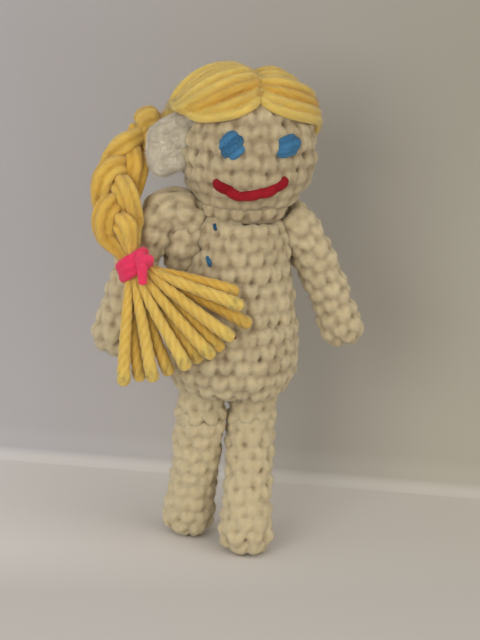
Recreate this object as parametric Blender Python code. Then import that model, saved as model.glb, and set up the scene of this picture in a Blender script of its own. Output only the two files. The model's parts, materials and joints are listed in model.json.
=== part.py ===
"""A small crocheted and stuffed doll, standing on its two feet, with its hair plaited at one side.

Metres, +Z up. The doll faces -Y, and its left side is at +X. The origin is on the ground, under the
middle of the whole doll. Each cover is a hollow crocheted wall with an open mouth, and its stuffing
lies inside it. Limbs, head and plait turn on round roots that share a centre with their sockets.
"""

import math

import bmesh
import bpy
import numpy as np
from mathutils import Matrix, Vector

# Sizes that many pieces share
GAP = 0.0003
WALL = 0.0024
SEWING_YARN = 0.0009
OVERRUN = 0.002
HALF = 0.5
RIGHT_ANGLE = math.radians(90)
STRAIGHT_ANGLE = math.radians(180)
UP = Vector((0, 0, 1))
FORWARD = Vector((0, -1, 0))
LEFTWARD = Vector((1, 0, 0))

# Legs
LEG_DROP = 0.0291
LEG_RADIUS = 0.0062
FOOT_RADIUS = 0.0069
SOLE_CUT = 0.0005
LEG_SPACE = 0.0006
HIP_SEAT = 0.0014
LEFT_TOE_REACH = 0.0095
RIGHT_TOE_REACH = -0.0055
LEG_PATH_SHARES = (0, 0.30, 0.55, 0.78, 1)
LEG_RADIUS_SHARES = (1, 0.97, 0.94, 0.98)

# Body
BODY_HEIGHT = 0.052
BODY_RADIUS = 0.0178
NECK_RADIUS = 0.0072
BODY_OUTLINE_SHARES = (
    (0.34, 0.004),
    (0.62, 0.026),
    (0.78, 0.060),
    (0.90, 0.112),
    (0.975, 0.185),
    (1, 0.28),
    (0.965, 0.40),
    (0.90, 0.52),
    (0.83, 0.65),
    (0.755, 0.76),
    (0.70, 0.85),
    (0.63, 0.92),
    (0.53, 0.968),
)
BODY_SIDES = 24

# Arms
ARM_RADIUS = 0.0047
HAND_RADIUS = 0.0056
SHOULDER_SEAT = 0.0019
SHOULDER_HEIGHT_SHARE = 0.92
LEFT_ARM_REACH = 0.0140
LEFT_ARM_DROP = 0.0266
LEFT_ARM_PATH_SHARES = ((0, 0), (0.22, 0.16), (0.48, 0.42), (0.78, 0.72), (1, 1))
RIGHT_ARM_REACH = 0.0180
RIGHT_ARM_DROP = 0.0318
RIGHT_ARM_PATH_SHARES = ((0, 0), (0.25, -0.045), (0.52, 0.08), (0.80, 0.50), (1, 1))
LEFT_ARM_RADIUS_SHARES = (1, 1, 0.98, 1)
RIGHT_ARM_RADIUS_SHARES = (1, 1.18, 1.1, 1)
LIMB_SIDES = 12

# Seams at the limbs' roots, as angles from the middle of each seam
SEAM_INNER_ANGLE = math.radians(8)
ARM_SEAM_OUTER_ANGLE = math.radians(22)
LEG_SEAM_OUTER_ANGLE = math.radians(40)
LIMB_MOUTH_ANGLE = math.radians(24)

# Neck and head
NECK_RISE = 0.0018
NECK_TOP_ANGLE = math.radians(70)
HEAD_RADIUS = 0.0180
HEAD_LIFT = 0.0007
HEAD_STEPS = 12

# Face: angles round the head from the front, positive to the doll's left, and above its middle
EYE_RADIUS = 0.0030
EYE_DEPTH = 0.0013
EYE_TURN = math.radians(26.7)
EYE_RISE = math.radians(14.5)
MOUTH_RADIUS = 0.0014
MOUTH_TURNS = (-41, -30, -16.5, -4, 8, 18, 27)
MOUTH_RISES = (-19.5, -28, -32.5, -30, -27, -21.5, -15)

# Ear, a felt piece that stands out from the doll's right side
EAR_REACH = 0.0108
EAR_HALF_HEIGHT = 0.0078
EAR_THICKNESS = 0.0016
EAR_FORWARD = 0.0022
EAR_CUP = 0.0020
EAR_RISE = 0.0006
EAR_OUTLINE_SHARES = ((-0.25, 0.86), (0, 0.94), (0.35, 1), (0.68, 0.88), (0.88, 0.62), (1, 0.28))
EAR_SIDES = 12

# Hair over the head
HAIR_THICKNESS = 0.0030
HAIR_BULGE = 0.0044
HAIR_BULGE_SPREAD = math.radians(50)
HAIR_BULGE_DIRECTION = Vector((-1, 0, 1)).normalized()
PARTING_HALF_WIDTH = 0.0009
PARTING_BLEND = 0.0045
PARTING_THICKNESS_SHARE = 0.45
HAIR_ROW_SHARES = (
    (0, 1),
    (0.16, 1),
    (0.32, 1),
    (0.47, 1),
    (0.61, 1),
    (0.74, 1),
    (0.86, 0.98),
    (0.94, 0.84),
    (1, 0.4),
)
HAIR_COLUMNS = 12
HAIR_FACET_TURN = math.radians(7.5)
HAIR_FACET_FALL = math.radians(10)
LEFT_HAIRLINE = ((0, 37), (30, 48), (60, 61), (90, 74), (120, 98), (150, 118), (180, 124))
RIGHT_HAIRLINE = ((0, 37), (30, 50), (60, 62), (84, 63), (100, 84), (115, 106), (150, 120), (180, 124))
PARTING_YARN_RADIUS = 0.0005
PARTING_FRONT_ANGLE = math.radians(-37)
PARTING_BACK_ANGLE = math.radians(118)
PARTING_STEPS = 16

# Plait: its root is a ball seated in the hair behind the ear. Its route from the middle of the head is
# in shares of the head's radius sideways and up, and of the body's radius forwards
PLAIT_ROOT_RADIUS = 0.0044
PLAIT_ROOT_SEAT = 0.0006
PLAIT_ROOT_AIM = Vector((-0.956, 0.217, 0.188)).normalized()
PLAIT_PATH_SHARES = (
    (-1.667, 0.247, -0.139),
    (-1.878, 0.079, -0.456),
    (-1.967, -0.157, -0.744),
    (-1.956, -0.371, -1.089),
    (-1.822, -0.551, -1.444),
)
PLAIT_TIE_SHARES = (-1.744, -0.652, -1.644)
PLAIT_HALF_WIDTH = 0.0047
PLAIT_HALF_DEPTH = 0.0038
PLAIT_STRAND_RADIUS = 0.0018
PLAIT_STRAND_END_RADIUS = 0.0009
PLAIT_TURNS = 1.3
PLAIT_STRANDS = 3
PLAIT_POINTS = 30
PLAIT_TURNED_SHARE = 0.72
PLAIT_SWELL_SHARES = ((0, 0.6), (0.2, 0.9), (0.32, 1), (1, 1))
PLAIT_RADIUS_SHARES = ((0, 0), (0.2, 1), (0.60, 1), (0.72, 0.65), (0.80, 0), (1, 0))
PLAIT_TIED_SHARES = ((0, 0), (0.60, 0), (0.70, 0.42), (0.80, 1), (1, 1))
STRAND_SIDES = 8

# Hair tie of yarn, wound round the end of the plait
TIE_AIM = Vector((0.5, -0.35, -0.9)).normalized()
TIE_YARN_RADIUS = 0.0010
TIE_BORE_RADIUS = 0.0030
TIE_TURNS = 1.5
TIE_TURN_POINTS = 24
TIE_TURN_SPACE = 0.0007
KNOT_TURN = 1.125
KNOT_RADIUS = 0.0016
KNOT_TAIL = 0.0040
KNOT_TAIL_RADIUS = 0.0010

# Fringe under the tie: angles from straight down towards the doll's left, and lengths as shares
FRINGE_LENGTH = 0.0305
FRINGE_YARN_RADIUS = 0.00135
FRINGE_TOP_RADIUS = 0.0002
FRINGE_SPREAD = 0.0095
FRINGE_TOP_PITCH = 0.00105
FRINGE_TOP_DROP = 0.0009
FRINGE_TOP_LAYER = 0.0012
FRINGE_LAYER = 0.0032
FRINGE_SIDE_TURN = math.radians(12.5)
FRINGE_FORWARD_LEAN = math.radians(4)
BACK_FRINGE_SHARES = ((9, 1.0), (25, 0.96), (39, 0.98), (53.5, 0.96), (67, 1.03), (80, 0.82))
FRONT_FRINGE_SHARES = ((2, 1.03), (17, 0.98), (32, 0.95), (46, 0.97), (60, 0.95), (74, 0.89))
FRINGE_BOW = 0.0010

# Colours of the yarns and the felt
CREAM = (0.66, 0.58, 0.42)
GOLD = (0.80, 0.55, 0.16)
PINK = (0.80, 0.06, 0.17)
BLUE = (0.03, 0.16, 0.32)
RED = (0.40, 0.01, 0.02)
FELT_WHITE = (0.74, 0.70, 0.62)
STUFFING_WHITE = (0.80, 0.79, 0.76)
YARN_ROUGHNESS = 0.9
FELT_ROUGHNESS = 0.95


def clear_scene():
    for obj in list(bpy.data.objects):
        bpy.data.objects.remove(obj)


def new_material(name, colour, roughness):
    made = bpy.data.materials.new(name)
    made.use_nodes = True
    shader = made.node_tree.nodes["Principled BSDF"]
    shader.inputs["Base Color"].default_value = (*colour, 1)
    shader.inputs["Roughness"].default_value = roughness
    shader.inputs["Metallic"].default_value = 0
    made.diffuse_color = (*colour, 1)
    return made


class Pivot:
    """An empty on a joint's axis, with the place that it was designed at."""

    def __init__(self, name, place, carrier=None):
        self.place = Vector(place)
        self.empty = bpy.data.objects.new(name, None)
        bpy.context.scene.collection.objects.link(self.empty)
        if carrier:
            self.empty.parent = carrier.empty
            self.empty.location = self.place - carrier.place


def add_piece(name, bm, material, pivot):
    """The shape as an object on its pivot, closed and smooth, with its faces out."""
    bmesh.ops.recalc_face_normals(bm, faces=bm.faces)
    mesh = bpy.data.meshes.new(name)
    bm.to_mesh(mesh)
    bm.free()
    mesh.transform(Matrix.Translation(-pivot.place))
    mesh.shade_smooth()
    mesh.set_sharp_from_angle(angle=math.radians(50))
    mesh.materials.append(material)
    obj = bpy.data.objects.new(name, mesh)
    bpy.context.scene.collection.objects.link(obj)
    obj.parent = pivot.empty
    return obj


def add_cutter(name, bm, pivot):
    cutter = add_piece(name, bm, materials["cutter"], pivot)
    cutter.hide_render = True
    cutter.display_type = "WIRE"
    return cutter


def cut(obj, cutter):
    modifier = obj.modifiers.new(cutter.name, "BOOLEAN")
    modifier.operation = "DIFFERENCE"
    modifier.solver = "EXACT"
    modifier.object = cutter


def ball(centre, radius, segments=24):
    bm = bmesh.new()
    rings = segments // 2
    place = Matrix.Translation(centre)
    bmesh.ops.create_uvsphere(bm, u_segments=segments, v_segments=rings, radius=radius, matrix=place)
    return bm


def loft(rings, across, sides, closed=False):
    """A skin through rings, each (centre, direction, radius). A ring with no radius is one point."""
    bm = bmesh.new()
    loops = []
    for centre, direction, radius in rings:
        along = direction.normalized()
        first = (across - along * across.dot(along)).normalized()
        second = along.cross(first)
        if radius == 0:
            loops.append([bm.verts.new(centre)])
            continue
        turns = [turn * STRAIGHT_ANGLE / (sides * HALF) for turn in range(sides)]
        spokes = [math.cos(turn) * first + math.sin(turn) * second for turn in turns]
        loops.append([bm.verts.new(centre + radius * spoke) for spoke in spokes])
    pairs = list(zip(loops, loops[1:]))
    if closed:
        pairs.append((loops[-1], loops[0]))
    for low, high in pairs:
        for i in range(sides):
            k = i + 1
            corners = (low[i % len(low)], low[k % len(low)], high[k % len(high)], high[i % len(high)])
            bm.faces.new(dict.fromkeys(corners))
    return bm


def smooth_points(points, steps):
    """Points on a smooth curve through the given ones, with so many steps between each two."""
    ends = [points[0] * 2 - points[1], *points, points[-1] * 2 - points[-2]]
    found = []
    for a, b, c, d in zip(ends, ends[1:], ends[2:], ends[3:]):
        for step in range(steps):
            t = step / steps
            bend = 2 * a - 5 * b + 4 * c - d
            twist = 3 * b - a - 3 * c + d
            found.append(HALF * (2 * b + t * (c - a) + t * t * bend + t * t * t * twist))
    found.append(points[-1])
    return found


def share_at(table, share):
    """The value of a table of (share, value) rows at a share, read along straight lines."""
    return float(np.interp(share, [row[0] for row in table], [row[1] for row in table]))


def angles_between(low, high, steps):
    return [low + (high - low) * step / steps for step in range(steps + 1)]


def rounded_rings(path, radii, inset=0, root_angle=0, cap_steps=3):
    """Rings over a tube that swells along its path, with round ends, drawn in all round by inset."""
    rings = []
    first = (path[1] - path[0]).normalized()
    last = (path[-1] - path[-2]).normalized()
    start_radius = radii[0] - inset
    end_radius = radii[-1] - inset
    for angle in angles_between(root_angle, RIGHT_ANGLE, cap_steps)[:-1]:
        back = start_radius * math.cos(angle)
        rings.append((path[0] - first * back, first, start_radius * math.sin(angle)))
    rings.append((path[0], first, start_radius))
    for before, here, after, radius in zip(path, path[1:], path[2:], radii[1:]):
        rings.append((here, after - before, radius - inset))
    rings.append((path[-1], last, end_radius))
    for angle in angles_between(RIGHT_ANGLE, 0, cap_steps)[1:-1]:
        on = end_radius * math.cos(angle)
        rings.append((path[-1] + last * on, last, end_radius * math.sin(angle)))
    rings.append((path[-1] + last * end_radius, last, 0))
    return rings


def turned_rings(profile):
    """Rings of a shape turned about the doll's upright axis, from (radius, height) points."""
    return [(Vector((0, 0, height)), UP, radius) for radius, height in profile]


def drawn_in(profile, inset):
    """A (radius, height) profile moved square to itself by inset, towards the right of its run."""
    moved = []
    for i, (radius, height) in enumerate(profile):
        before = Vector(profile[max(i - 1, 0)])
        after = Vector(profile[min(i + 1, len(profile) - 1)])
        run = (after - before).normalized()
        inward = -inset * run.y
        lift = inset * run.x
        if radius == 0:
            inward = 0
            lift = inset
        moved.append((max(radius + inward, 0), height + lift))
    return moved


def body_outline():
    """The body's outer (radius, height) points, from its lowest point to the rim of its neck."""
    points = [(0, body_base)]
    for radius_share, height_share in BODY_OUTLINE_SHARES:
        points.append((radius_share * BODY_RADIUS, body_base + height_share * BODY_HEIGHT))
    points.append((NECK_RADIUS, neck_rim))
    return points


def underside_rise(radius):
    """How far the body's underside has risen above its lowest point at a radius."""
    radii = [0, *(row[0] * BODY_RADIUS for row in BODY_OUTLINE_SHARES[:5])]
    rises = [0, *(row[1] * BODY_HEIGHT for row in BODY_OUTLINE_SHARES[:5])]
    return float(np.interp(radius, radii, rises))


def shoulder_place():
    """The centre of a shoulder joint as (distance from the axis, height)."""
    shares = [row[1] for row in BODY_OUTLINE_SHARES]
    radii = [row[0] * BODY_RADIUS for row in BODY_OUTLINE_SHARES]
    step = (shares[-1] - shares[-2]) * HALF
    low = Vector((np.interp(SHOULDER_HEIGHT_SHARE - step, shares, radii), -step * BODY_HEIGHT))
    high = Vector((np.interp(SHOULDER_HEIGHT_SHARE + step, shares, radii), step * BODY_HEIGHT))
    run = (high - low).normalized()
    outward = Vector((run.y, -run.x))
    on_skin = Vector((
        np.interp(SHOULDER_HEIGHT_SHARE, shares, radii),
        body_base + SHOULDER_HEIGHT_SHARE * BODY_HEIGHT,
    ))
    return on_skin + outward * (arm_socket_radius - SHOULDER_SEAT)


def arc_points(centre_height, radius, low_angle, high_angle, steps):
    """(radius, height) points of an arc about a point on the axis; an angle of 0 is straight up."""
    angles = angles_between(low_angle, high_angle, steps)
    return [(radius * math.sin(a), centre_height + radius * math.cos(a)) for a in angles]


def angle_to_socket(radius):
    """How far up from its lowest point a ball about the head's middle meets the neck's socket."""
    apart = head_middle - neck_pivot
    cosine = (radius * radius + apart * apart - neck_socket_radius**2) / (2 * radius * apart)
    return math.acos(max(min(cosine, 1), -1))


def head_outline(radius):
    """A ball about the head's middle, from its top to the neck's socket."""
    low = STRAIGHT_ANGLE - angle_to_socket(radius)
    return arc_points(head_middle, radius, 0, low, HEAD_STEPS)


def socket_angle(point):
    """The angle, from straight up, at which a (radius, height) point is seen from the neck's pivot."""
    return math.atan2(point[0], point[1] - neck_pivot)


def on_head(turn, rise, distance):
    """A point at a distance from the head's middle: turn goes to the doll's left, rise goes up."""
    level = math.cos(rise)
    aim = Vector((math.sin(turn) * level, -math.cos(turn) * level, math.sin(rise)))
    return head_centre + aim * distance


def hip_place(side):
    return Vector((side * hip_offset, 0, hip_height))


def make_body():
    outer = body_outline()
    inner = drawn_in(outer, WALL)
    cover = turned_rings(outer) + turned_rings(reversed(inner))
    body = add_piece("body_cover", loft(cover, LEFTWARD, BODY_SIDES), materials["cream"], doll)
    for name, centre, radius in body_sockets:
        cut(body, add_cutter(name, ball(centre, radius), doll))
    filling = drawn_in(outer, WALL + GAP)
    filling.append((0, filling[-1][1]))
    add_piece("body_stuffing", loft(turned_rings(filling), LEFTWARD, BODY_SIDES), materials["stuffing"], doll)


def make_neck_and_head():
    low_angle = math.acos((GAP - NECK_RISE) / NECK_RADIUS)
    ring = arc_points(neck_pivot, NECK_RADIUS, NECK_TOP_ANGLE, low_angle, 4)
    bore = NECK_RADIUS - WALL
    ring += [(bore, ring[-1][1]), (bore, ring[0][1])]
    seam = loft(turned_rings(ring), LEFTWARD, BODY_SIDES, closed=True)
    add_piece("neck_seam", seam, materials["cream"], neck)

    outer = head_outline(HEAD_RADIUS)
    inner = head_outline(HEAD_RADIUS - WALL)
    ends = socket_angle(outer[-1]), socket_angle(inner[-1])
    mouth = arc_points(neck_pivot, neck_socket_radius, *ends, 3)[1:-1]
    cover = turned_rings(outer + mouth + inner[::-1])
    add_piece("head_cover", loft(cover, LEFTWARD, BODY_SIDES), materials["cream"], head)

    filling = head_outline(HEAD_RADIUS - WALL - GAP)
    dish = arc_points(neck_pivot, neck_socket_radius, socket_angle(filling[-1]), 0, 3)[1:-1]
    filling = filling + dish + [(0, neck_pivot + neck_socket_radius)]
    add_piece("head_stuffing", loft(turned_rings(filling), LEFTWARD, BODY_SIDES), materials["stuffing"], head)


def make_limb(name, path, radii, across, pivot, sole=None):
    """A limb's cover, open at its root, and its stuffing."""
    outer = rounded_rings(path, radii, 0, LIMB_MOUTH_ANGLE)
    inner = rounded_rings(path, radii, WALL, LIMB_MOUTH_ANGLE)
    cover = add_piece(name + "_cover", loft(outer[::-1] + inner, across, LIMB_SIDES), materials["cream"], pivot)
    if sole:
        cut(cover, sole)
    filling = loft(rounded_rings(path, radii, WALL + GAP), across, LIMB_SIDES)
    add_piece(name + "_stuffing", filling, materials["stuffing"], pivot)


def make_seam(name, centre, pole, root_radius, outer_angle, pivot):
    """A ring of sewing yarn that lies round, between a limb's root and its socket."""
    inner = root_radius + GAP
    outer = inner + SEWING_YARN
    angles = angles_between(SEAM_INNER_ANGLE, outer_angle, 2)
    rings = [(centre + pole * outer * math.cos(a), pole, outer * math.sin(a)) for a in angles]
    rings += [(centre + pole * inner * math.cos(a), pole, inner * math.sin(a)) for a in angles[::-1]]
    add_piece(name, loft(rings, FORWARD, LIMB_SIDES, closed=True), materials["cream"], pivot)


def make_arm(name, side, reach, drop, path_shares, radius_shares, swing, lift):
    root = shoulders[side]
    stations = [root + Vector((side * reach * x, 0, -drop * z)) for x, z in path_shares]
    path = smooth_points(stations, 2)
    radii = spread_radii(ARM_RADIUS, HAND_RADIUS, radius_shares, len(path))
    make_seam(name + "_seam", root, -side * LEFTWARD, ARM_RADIUS, ARM_SEAM_OUTER_ANGLE, swing)
    make_limb(name, path, radii, FORWARD, lift)


def spread_radii(root_radius, end_radius, root_shares, count):
    """Radii along a limb: shares of its root's radius, then the radius of its hand or foot."""
    places = angles_between(0, 1, len(root_shares))
    values = [share * root_radius for share in root_shares] + [end_radius]
    return [float(np.interp(i / (count - 1), places, values)) for i in range(count)]


def make_leg(name, side, toe_reach, swing, spread, ground):
    root = hip_place(side)
    foot = root + FORWARD * toe_reach - UP * LEG_DROP
    stations = [root.lerp(foot, share) for share in LEG_PATH_SHARES]
    path = smooth_points(stations, 2)
    radii = spread_radii(LEG_RADIUS, FOOT_RADIUS, LEG_RADIUS_SHARES, len(path))
    make_seam(name + "_seam", root, UP, LEG_RADIUS, LEG_SEAM_OUTER_ANGLE, swing)
    make_limb(name, path, radii, LEFTWARD, spread, ground)


def make_ground_cutter():
    """A block whose top is the ground, wide enough for both feet."""
    bm = bmesh.new()
    width = hip_offset + FOOT_RADIUS + OVERRUN + abs(LEFT_TOE_REACH) + abs(RIGHT_TOE_REACH)
    bmesh.ops.create_cube(bm, size=width * 2, matrix=Matrix.Translation(-UP * width))
    return add_cutter("ground_cut", bm, doll)


def make_eye(name, side, clearance):
    centre = on_head(side * EYE_TURN, EYE_RISE, HEAD_RADIUS)
    out = (centre - head_centre).normalized()
    rings = []
    for angle in angles_between(STRAIGHT_ANGLE, 0, 6):
        radius = EYE_RADIUS * math.sin(angle) if 0 < angle < STRAIGHT_ANGLE else 0
        rings.append((centre + out * EYE_DEPTH * math.cos(angle), out, radius))
    cut(add_piece(name, loft(rings, UP, LIMB_SIDES), materials["blue"], head), clearance)


def make_mouth(clearance):
    distance = HEAD_RADIUS + MOUTH_RADIUS * HALF
    turns_and_rises = zip(MOUTH_TURNS, MOUTH_RISES)
    path = [on_head(math.radians(turn), math.radians(rise), distance) for turn, rise in turns_and_rises]
    path = smooth_points(path, 2)
    rings = rounded_rings(path, [MOUTH_RADIUS] * len(path))
    cut(add_piece("mouth", loft(rings, UP, STRAND_SIDES), materials["red"], head), clearance)


def make_ear(clearance):
    """A flat oval of felt, cupped forwards, whose base follows the head."""
    bm = bmesh.new()
    loops = []
    base = head_centre - LEFTWARD * HEAD_RADIUS + UP * EAR_RISE + FORWARD * EAR_FORWARD
    for reach_share, height_share in EAR_OUTLINE_SHARES:
        centre = base - LEFTWARD * EAR_REACH * reach_share
        loop = []
        for turn in range(EAR_SIDES):
            angle = turn * STRAIGHT_ANGLE / (EAR_SIDES * HALF)
            rise = EAR_HALF_HEIGHT * height_share * math.cos(angle)
            curl = EAR_CUP * ((rise / EAR_HALF_HEIGHT) ** 2 + max(reach_share, 0) ** 2)
            depth = EAR_THICKNESS * HALF * math.copysign(math.sqrt(abs(math.sin(angle))), math.sin(angle))
            if abs(math.sin(angle)) < GAP:
                depth = 0
            loop.append(bm.verts.new(centre + UP * rise + FORWARD * (curl + depth)))
        loops.append(loop)
    for low, high in zip(loops, loops[1:]):
        for i in range(EAR_SIDES):
            k = (i + 1) % EAR_SIDES
            bm.faces.new((low[i], low[k], high[k], high[i]))
    bm.faces.new(loops[0])
    bm.faces.new(loops[-1])
    cut(add_piece("ear_right", bm, materials["felt"], head), clearance)


def hair_thickness(aim):
    """How thick the hair lies over the head in a direction, away from the parting."""
    near = aim.angle(HAIR_BULGE_DIRECTION) / HAIR_BULGE_SPREAD
    return HAIR_THICKNESS + HAIR_BULGE * max(1 - near * near, 0)


def hair_point(side, turn, angle, thickness_share):
    """A point of the hair at a turn from the front and an angle from the crown."""
    level = math.sin(angle)
    aim = Vector((side * math.sin(turn) * level, -math.cos(turn) * level, math.cos(angle)))
    thickness = hair_thickness(aim)
    from_parting = min(abs(aim.x) * head_skin / PARTING_BLEND, 1)
    thickness *= PARTING_THICKNESS_SHARE + (1 - PARTING_THICKNESS_SHARE) * from_parting
    point = aim * (hair_inside + thickness * thickness_share)
    point.x = side * max(abs(point.x), PARTING_HALF_WIDTH)
    return head_centre + point


def make_hair_half(name, side, hairline):
    """The hair on one side of the parting, as a shell over the head down to its hairline."""
    bm = bmesh.new()
    skins = []
    for inside in (False, True):
        top = bm.verts.new(hair_point(side, 0, 0, 0 if inside else 1))
        rows = [[top] * (HAIR_COLUMNS + 1)]
        for row_share, thickness_share in HAIR_ROW_SHARES[1:]:
            row = []
            for column in range(HAIR_COLUMNS + 1):
                turn = STRAIGHT_ANGLE * column / HAIR_COLUMNS
                edge = math.radians(share_at(hairline, math.degrees(turn)))
                share = 0 if inside else thickness_share
                row.append(bm.verts.new(hair_point(side, turn, edge * row_share, share)))
            rows.append(row)
        skins.append(rows)
    outer, inner = skins
    quads = []
    for rows in skins:
        for low, high in zip(rows, rows[1:]):
            quads += [(low[i], low[i + 1], high[i + 1], high[i]) for i in range(HAIR_COLUMNS)]
    quads += [
        (outer[-1][i], outer[-1][i + 1], inner[-1][i + 1], inner[-1][i]) for i in range(HAIR_COLUMNS)
    ]
    for column in (0, HAIR_COLUMNS):
        for row in range(len(HAIR_ROW_SHARES) - 1):
            quads.append(
                (outer[row][column], outer[row + 1][column], inner[row + 1][column], inner[row][column])
            )
    for corners in quads:
        bm.faces.new(dict.fromkeys(corners))
    return add_piece(name, bm, materials["gold"], head)


def make_parting_seam():
    """The sewn line that runs in the parting, from the forehead over the crown to the nape."""
    distance = head_skin + PARTING_YARN_RADIUS
    path = []
    for angle in angles_between(PARTING_FRONT_ANGLE, PARTING_BACK_ANGLE, PARTING_STEPS):
        path.append(head_centre + Vector((0, math.sin(angle), math.cos(angle))) * distance)
    rings = rounded_rings(path, [PARTING_YARN_RADIUS] * len(path), cap_steps=2)
    add_piece("hair_parting_seam", loft(rings, LEFTWARD, STRAND_SIDES - 2), materials["gold"], head)


def beside_head(shares):
    """A place on the plait's route."""
    across, forward, up = shares
    return head_centre + Vector((across * HEAD_RADIUS, forward * BODY_RADIUS, up * HEAD_RADIUS))


def plait_frames():
    """Places down the middle of the plait, each with its side and front directions."""
    route = [beside_head(shares) for shares in PLAIT_PATH_SHARES]
    start = plait_root + (route[0] - plait_root).normalized() * plait_start
    stations = [start, *route, plait_tie, plait_end]
    fine = smooth_points(stations, 12)
    runs = np.cumsum([0] + [(b - a).length for a, b in zip(fine, fine[1:])])
    frames = []
    for i in range(PLAIT_POINTS):
        share = i / (PLAIT_POINTS - 1)
        here = share * runs[-1]
        place = Vector([np.interp(here, runs, [p[k] for p in fine]) for k in range(3)])
        ahead = min(here + plait_step, runs[-1])
        behind = max(here - plait_step, 0)
        along = Vector(
            [np.interp(ahead, runs, [p[k] for p in fine]) - np.interp(behind, runs, [p[k] for p in fine])
             for k in range(3)]
        ).normalized()
        side = along.cross(plait_front).normalized()
        frames.append((share, place, side, side.cross(along).normalized()))
    return frames


def make_plait():
    """Three strands that pass over each other in turn, and how near they come to each other."""
    paths = []
    for strand in range(PLAIT_STRANDS):
        phase = strand * STRAIGHT_ANGLE * 2 / PLAIT_STRANDS
        path = []
        for share, place, side, front in plait_frames():
            turned = min(share, PLAIT_TURNED_SHARE) - PLAIT_TURNED_SHARE
            turn = turned * PLAIT_TURNS * STRAIGHT_ANGLE * 2 + RIGHT_ANGLE + phase
            swell = share_at(PLAIT_SWELL_SHARES, share)
            tied = share_at(PLAIT_TIED_SHARES, share)
            wide = (PLAIT_HALF_WIDTH * (1 - tied) + tie_core * tied) * swell
            deep = (PLAIT_HALF_DEPTH * (1 - tied) + tie_core * tied) * swell
            path.append(place + side * wide * math.sin(turn) + front * deep * math.sin(2 * turn))
        paths.append(path)
    radii = []
    for i in range(PLAIT_POINTS):
        grown = share_at(PLAIT_RADIUS_SHARES, i / (PLAIT_POINTS - 1))
        radii.append(PLAIT_STRAND_END_RADIUS + (PLAIT_STRAND_RADIUS - PLAIT_STRAND_END_RADIUS) * grown)
    for strand, path in enumerate(paths):
        skin = loft(rounded_rings(path, radii, cap_steps=2), plait_front, STRAND_SIDES)
        add_piece(f"plait_strand_{strand + 1}", skin, materials["gold"], plait)
    print_least_gap("plait strands", list(zip(paths, [radii] * PLAIT_STRANDS)))


def print_least_gap(what, tubes):
    """Prints how near each two of these tubes come, measured between points on their middle lines."""
    least = math.inf
    for i, (path, radii) in enumerate(tubes):
        for other, other_radii in tubes[i + 1 :]:
            fine, fine_radii = finer(path, radii)
            fine_other, fine_other_radii = finer(other, other_radii)
            apart = np.linalg.norm(fine[:, None] - fine_other[None], axis=2)
            least = min(least, (apart - fine_radii[:, None] - fine_other_radii[None]).min())
    print(f"least gap between {what}: {1000 * least:.2f} mm")


def finer(path, radii, steps=6):
    marks = np.arange(len(path))
    fine = np.linspace(0, len(path) - 1, steps * (len(path) - 1) + 1)
    places = np.array([tuple(point) for point in path])
    rows = [np.interp(fine, marks, places[:, k]) for k in range(3)]
    return np.array(rows).T, np.interp(fine, marks, radii)


def tie_winding(turn):
    """The middle of the tie's yarn after so many turns, and the way straight out from the plait."""
    angle = turn * STRAIGHT_ANGLE * 2
    along = (turn / TIE_TURNS - HALF) * tie_climb
    out = tie_left * math.cos(angle) + tie_front * math.sin(angle)
    return plait_tie + TIE_AIM * along + out * (TIE_BORE_RADIUS + TIE_YARN_RADIUS), out


def make_tie():
    """Pink yarn wound round the plait's end, as one unbroken tube, and the knot with its two ends."""
    count = round(TIE_TURNS * TIE_TURN_POINTS)
    path = [tie_winding(i / TIE_TURN_POINTS)[0] for i in range(count + 1)]
    straight = 2 * TIE_YARN_RADIUS
    lead_in = path[0] - (path[1] - path[0]).normalized() * straight
    lead_out = path[-1] + (path[-1] - path[-2]).normalized() * straight
    route = [lead_in, *path, lead_out]
    points = np.array([tuple(point) for point in path])
    apart = np.linalg.norm(points[:, None] - points[None], axis=2)
    far = np.abs(np.subtract.outer(np.arange(len(path)), np.arange(len(path)))) > TIE_TURN_POINTS * HALF
    print(f"least gap between turns of the tie: {1000 * (apart[far].min() - 2 * TIE_YARN_RADIUS):.2f} mm")
    rings = rounded_rings(route, [TIE_YARN_RADIUS] * len(route), cap_steps=2)
    add_piece("hair_tie", loft(rings, TIE_AIM, STRAND_SIDES - 2), materials["pink"], plait)

    under, out = tie_winding(KNOT_TURN)
    knot = under + out * (TIE_YARN_RADIUS + GAP + KNOT_RADIUS)
    away = (out * 2 + tie_left - TIE_AIM).normalized()
    down = (out * 2 + TIE_AIM * 2).normalized()
    path = [
        knot + away * KNOT_TAIL,
        knot + away * KNOT_TAIL * HALF,
        knot,
        knot + down * KNOT_TAIL * HALF,
        knot + down * KNOT_TAIL,
    ]
    radii = [KNOT_TAIL_RADIUS, KNOT_TAIL_RADIUS, KNOT_RADIUS, KNOT_TAIL_RADIUS, KNOT_TAIL_RADIUS]
    rings = rounded_rings(path, radii, cap_steps=2)
    add_piece("hair_tie_knot", loft(rings, LEFTWARD, STRAND_SIDES), materials["pink"], plait)


def fringe_path(place, layer, angle, length):
    """One loose yarn end: thin where it leaves the tie, and fanned out with the others."""
    aim = fringe_down * math.cos(angle) + fringe_side * math.sin(angle)
    middle = (len(BACK_FRINGE_SHARES) - 1) * HALF
    top = fringe_root + tie_left * (place - middle) * FRINGE_TOP_PITCH + TIE_AIM * FRINGE_TOP_DROP
    path = []
    radii = []
    for share in (0, 0.1, 0.2, 0.31, 0.55, 0.8, 1):
        run = share * length
        spread = min(run / FRINGE_SPREAD, 1)
        forward = layer * (FRINGE_TOP_LAYER + (FRINGE_LAYER - FRINGE_TOP_LAYER) * spread)
        bow = FRINGE_BOW * share * share
        path.append(top + aim * run + fringe_front * forward - UP * bow)
        radii.append(FRINGE_TOP_RADIUS + (FRINGE_YARN_RADIUS - FRINGE_TOP_RADIUS) * spread)
    return path, radii


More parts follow.
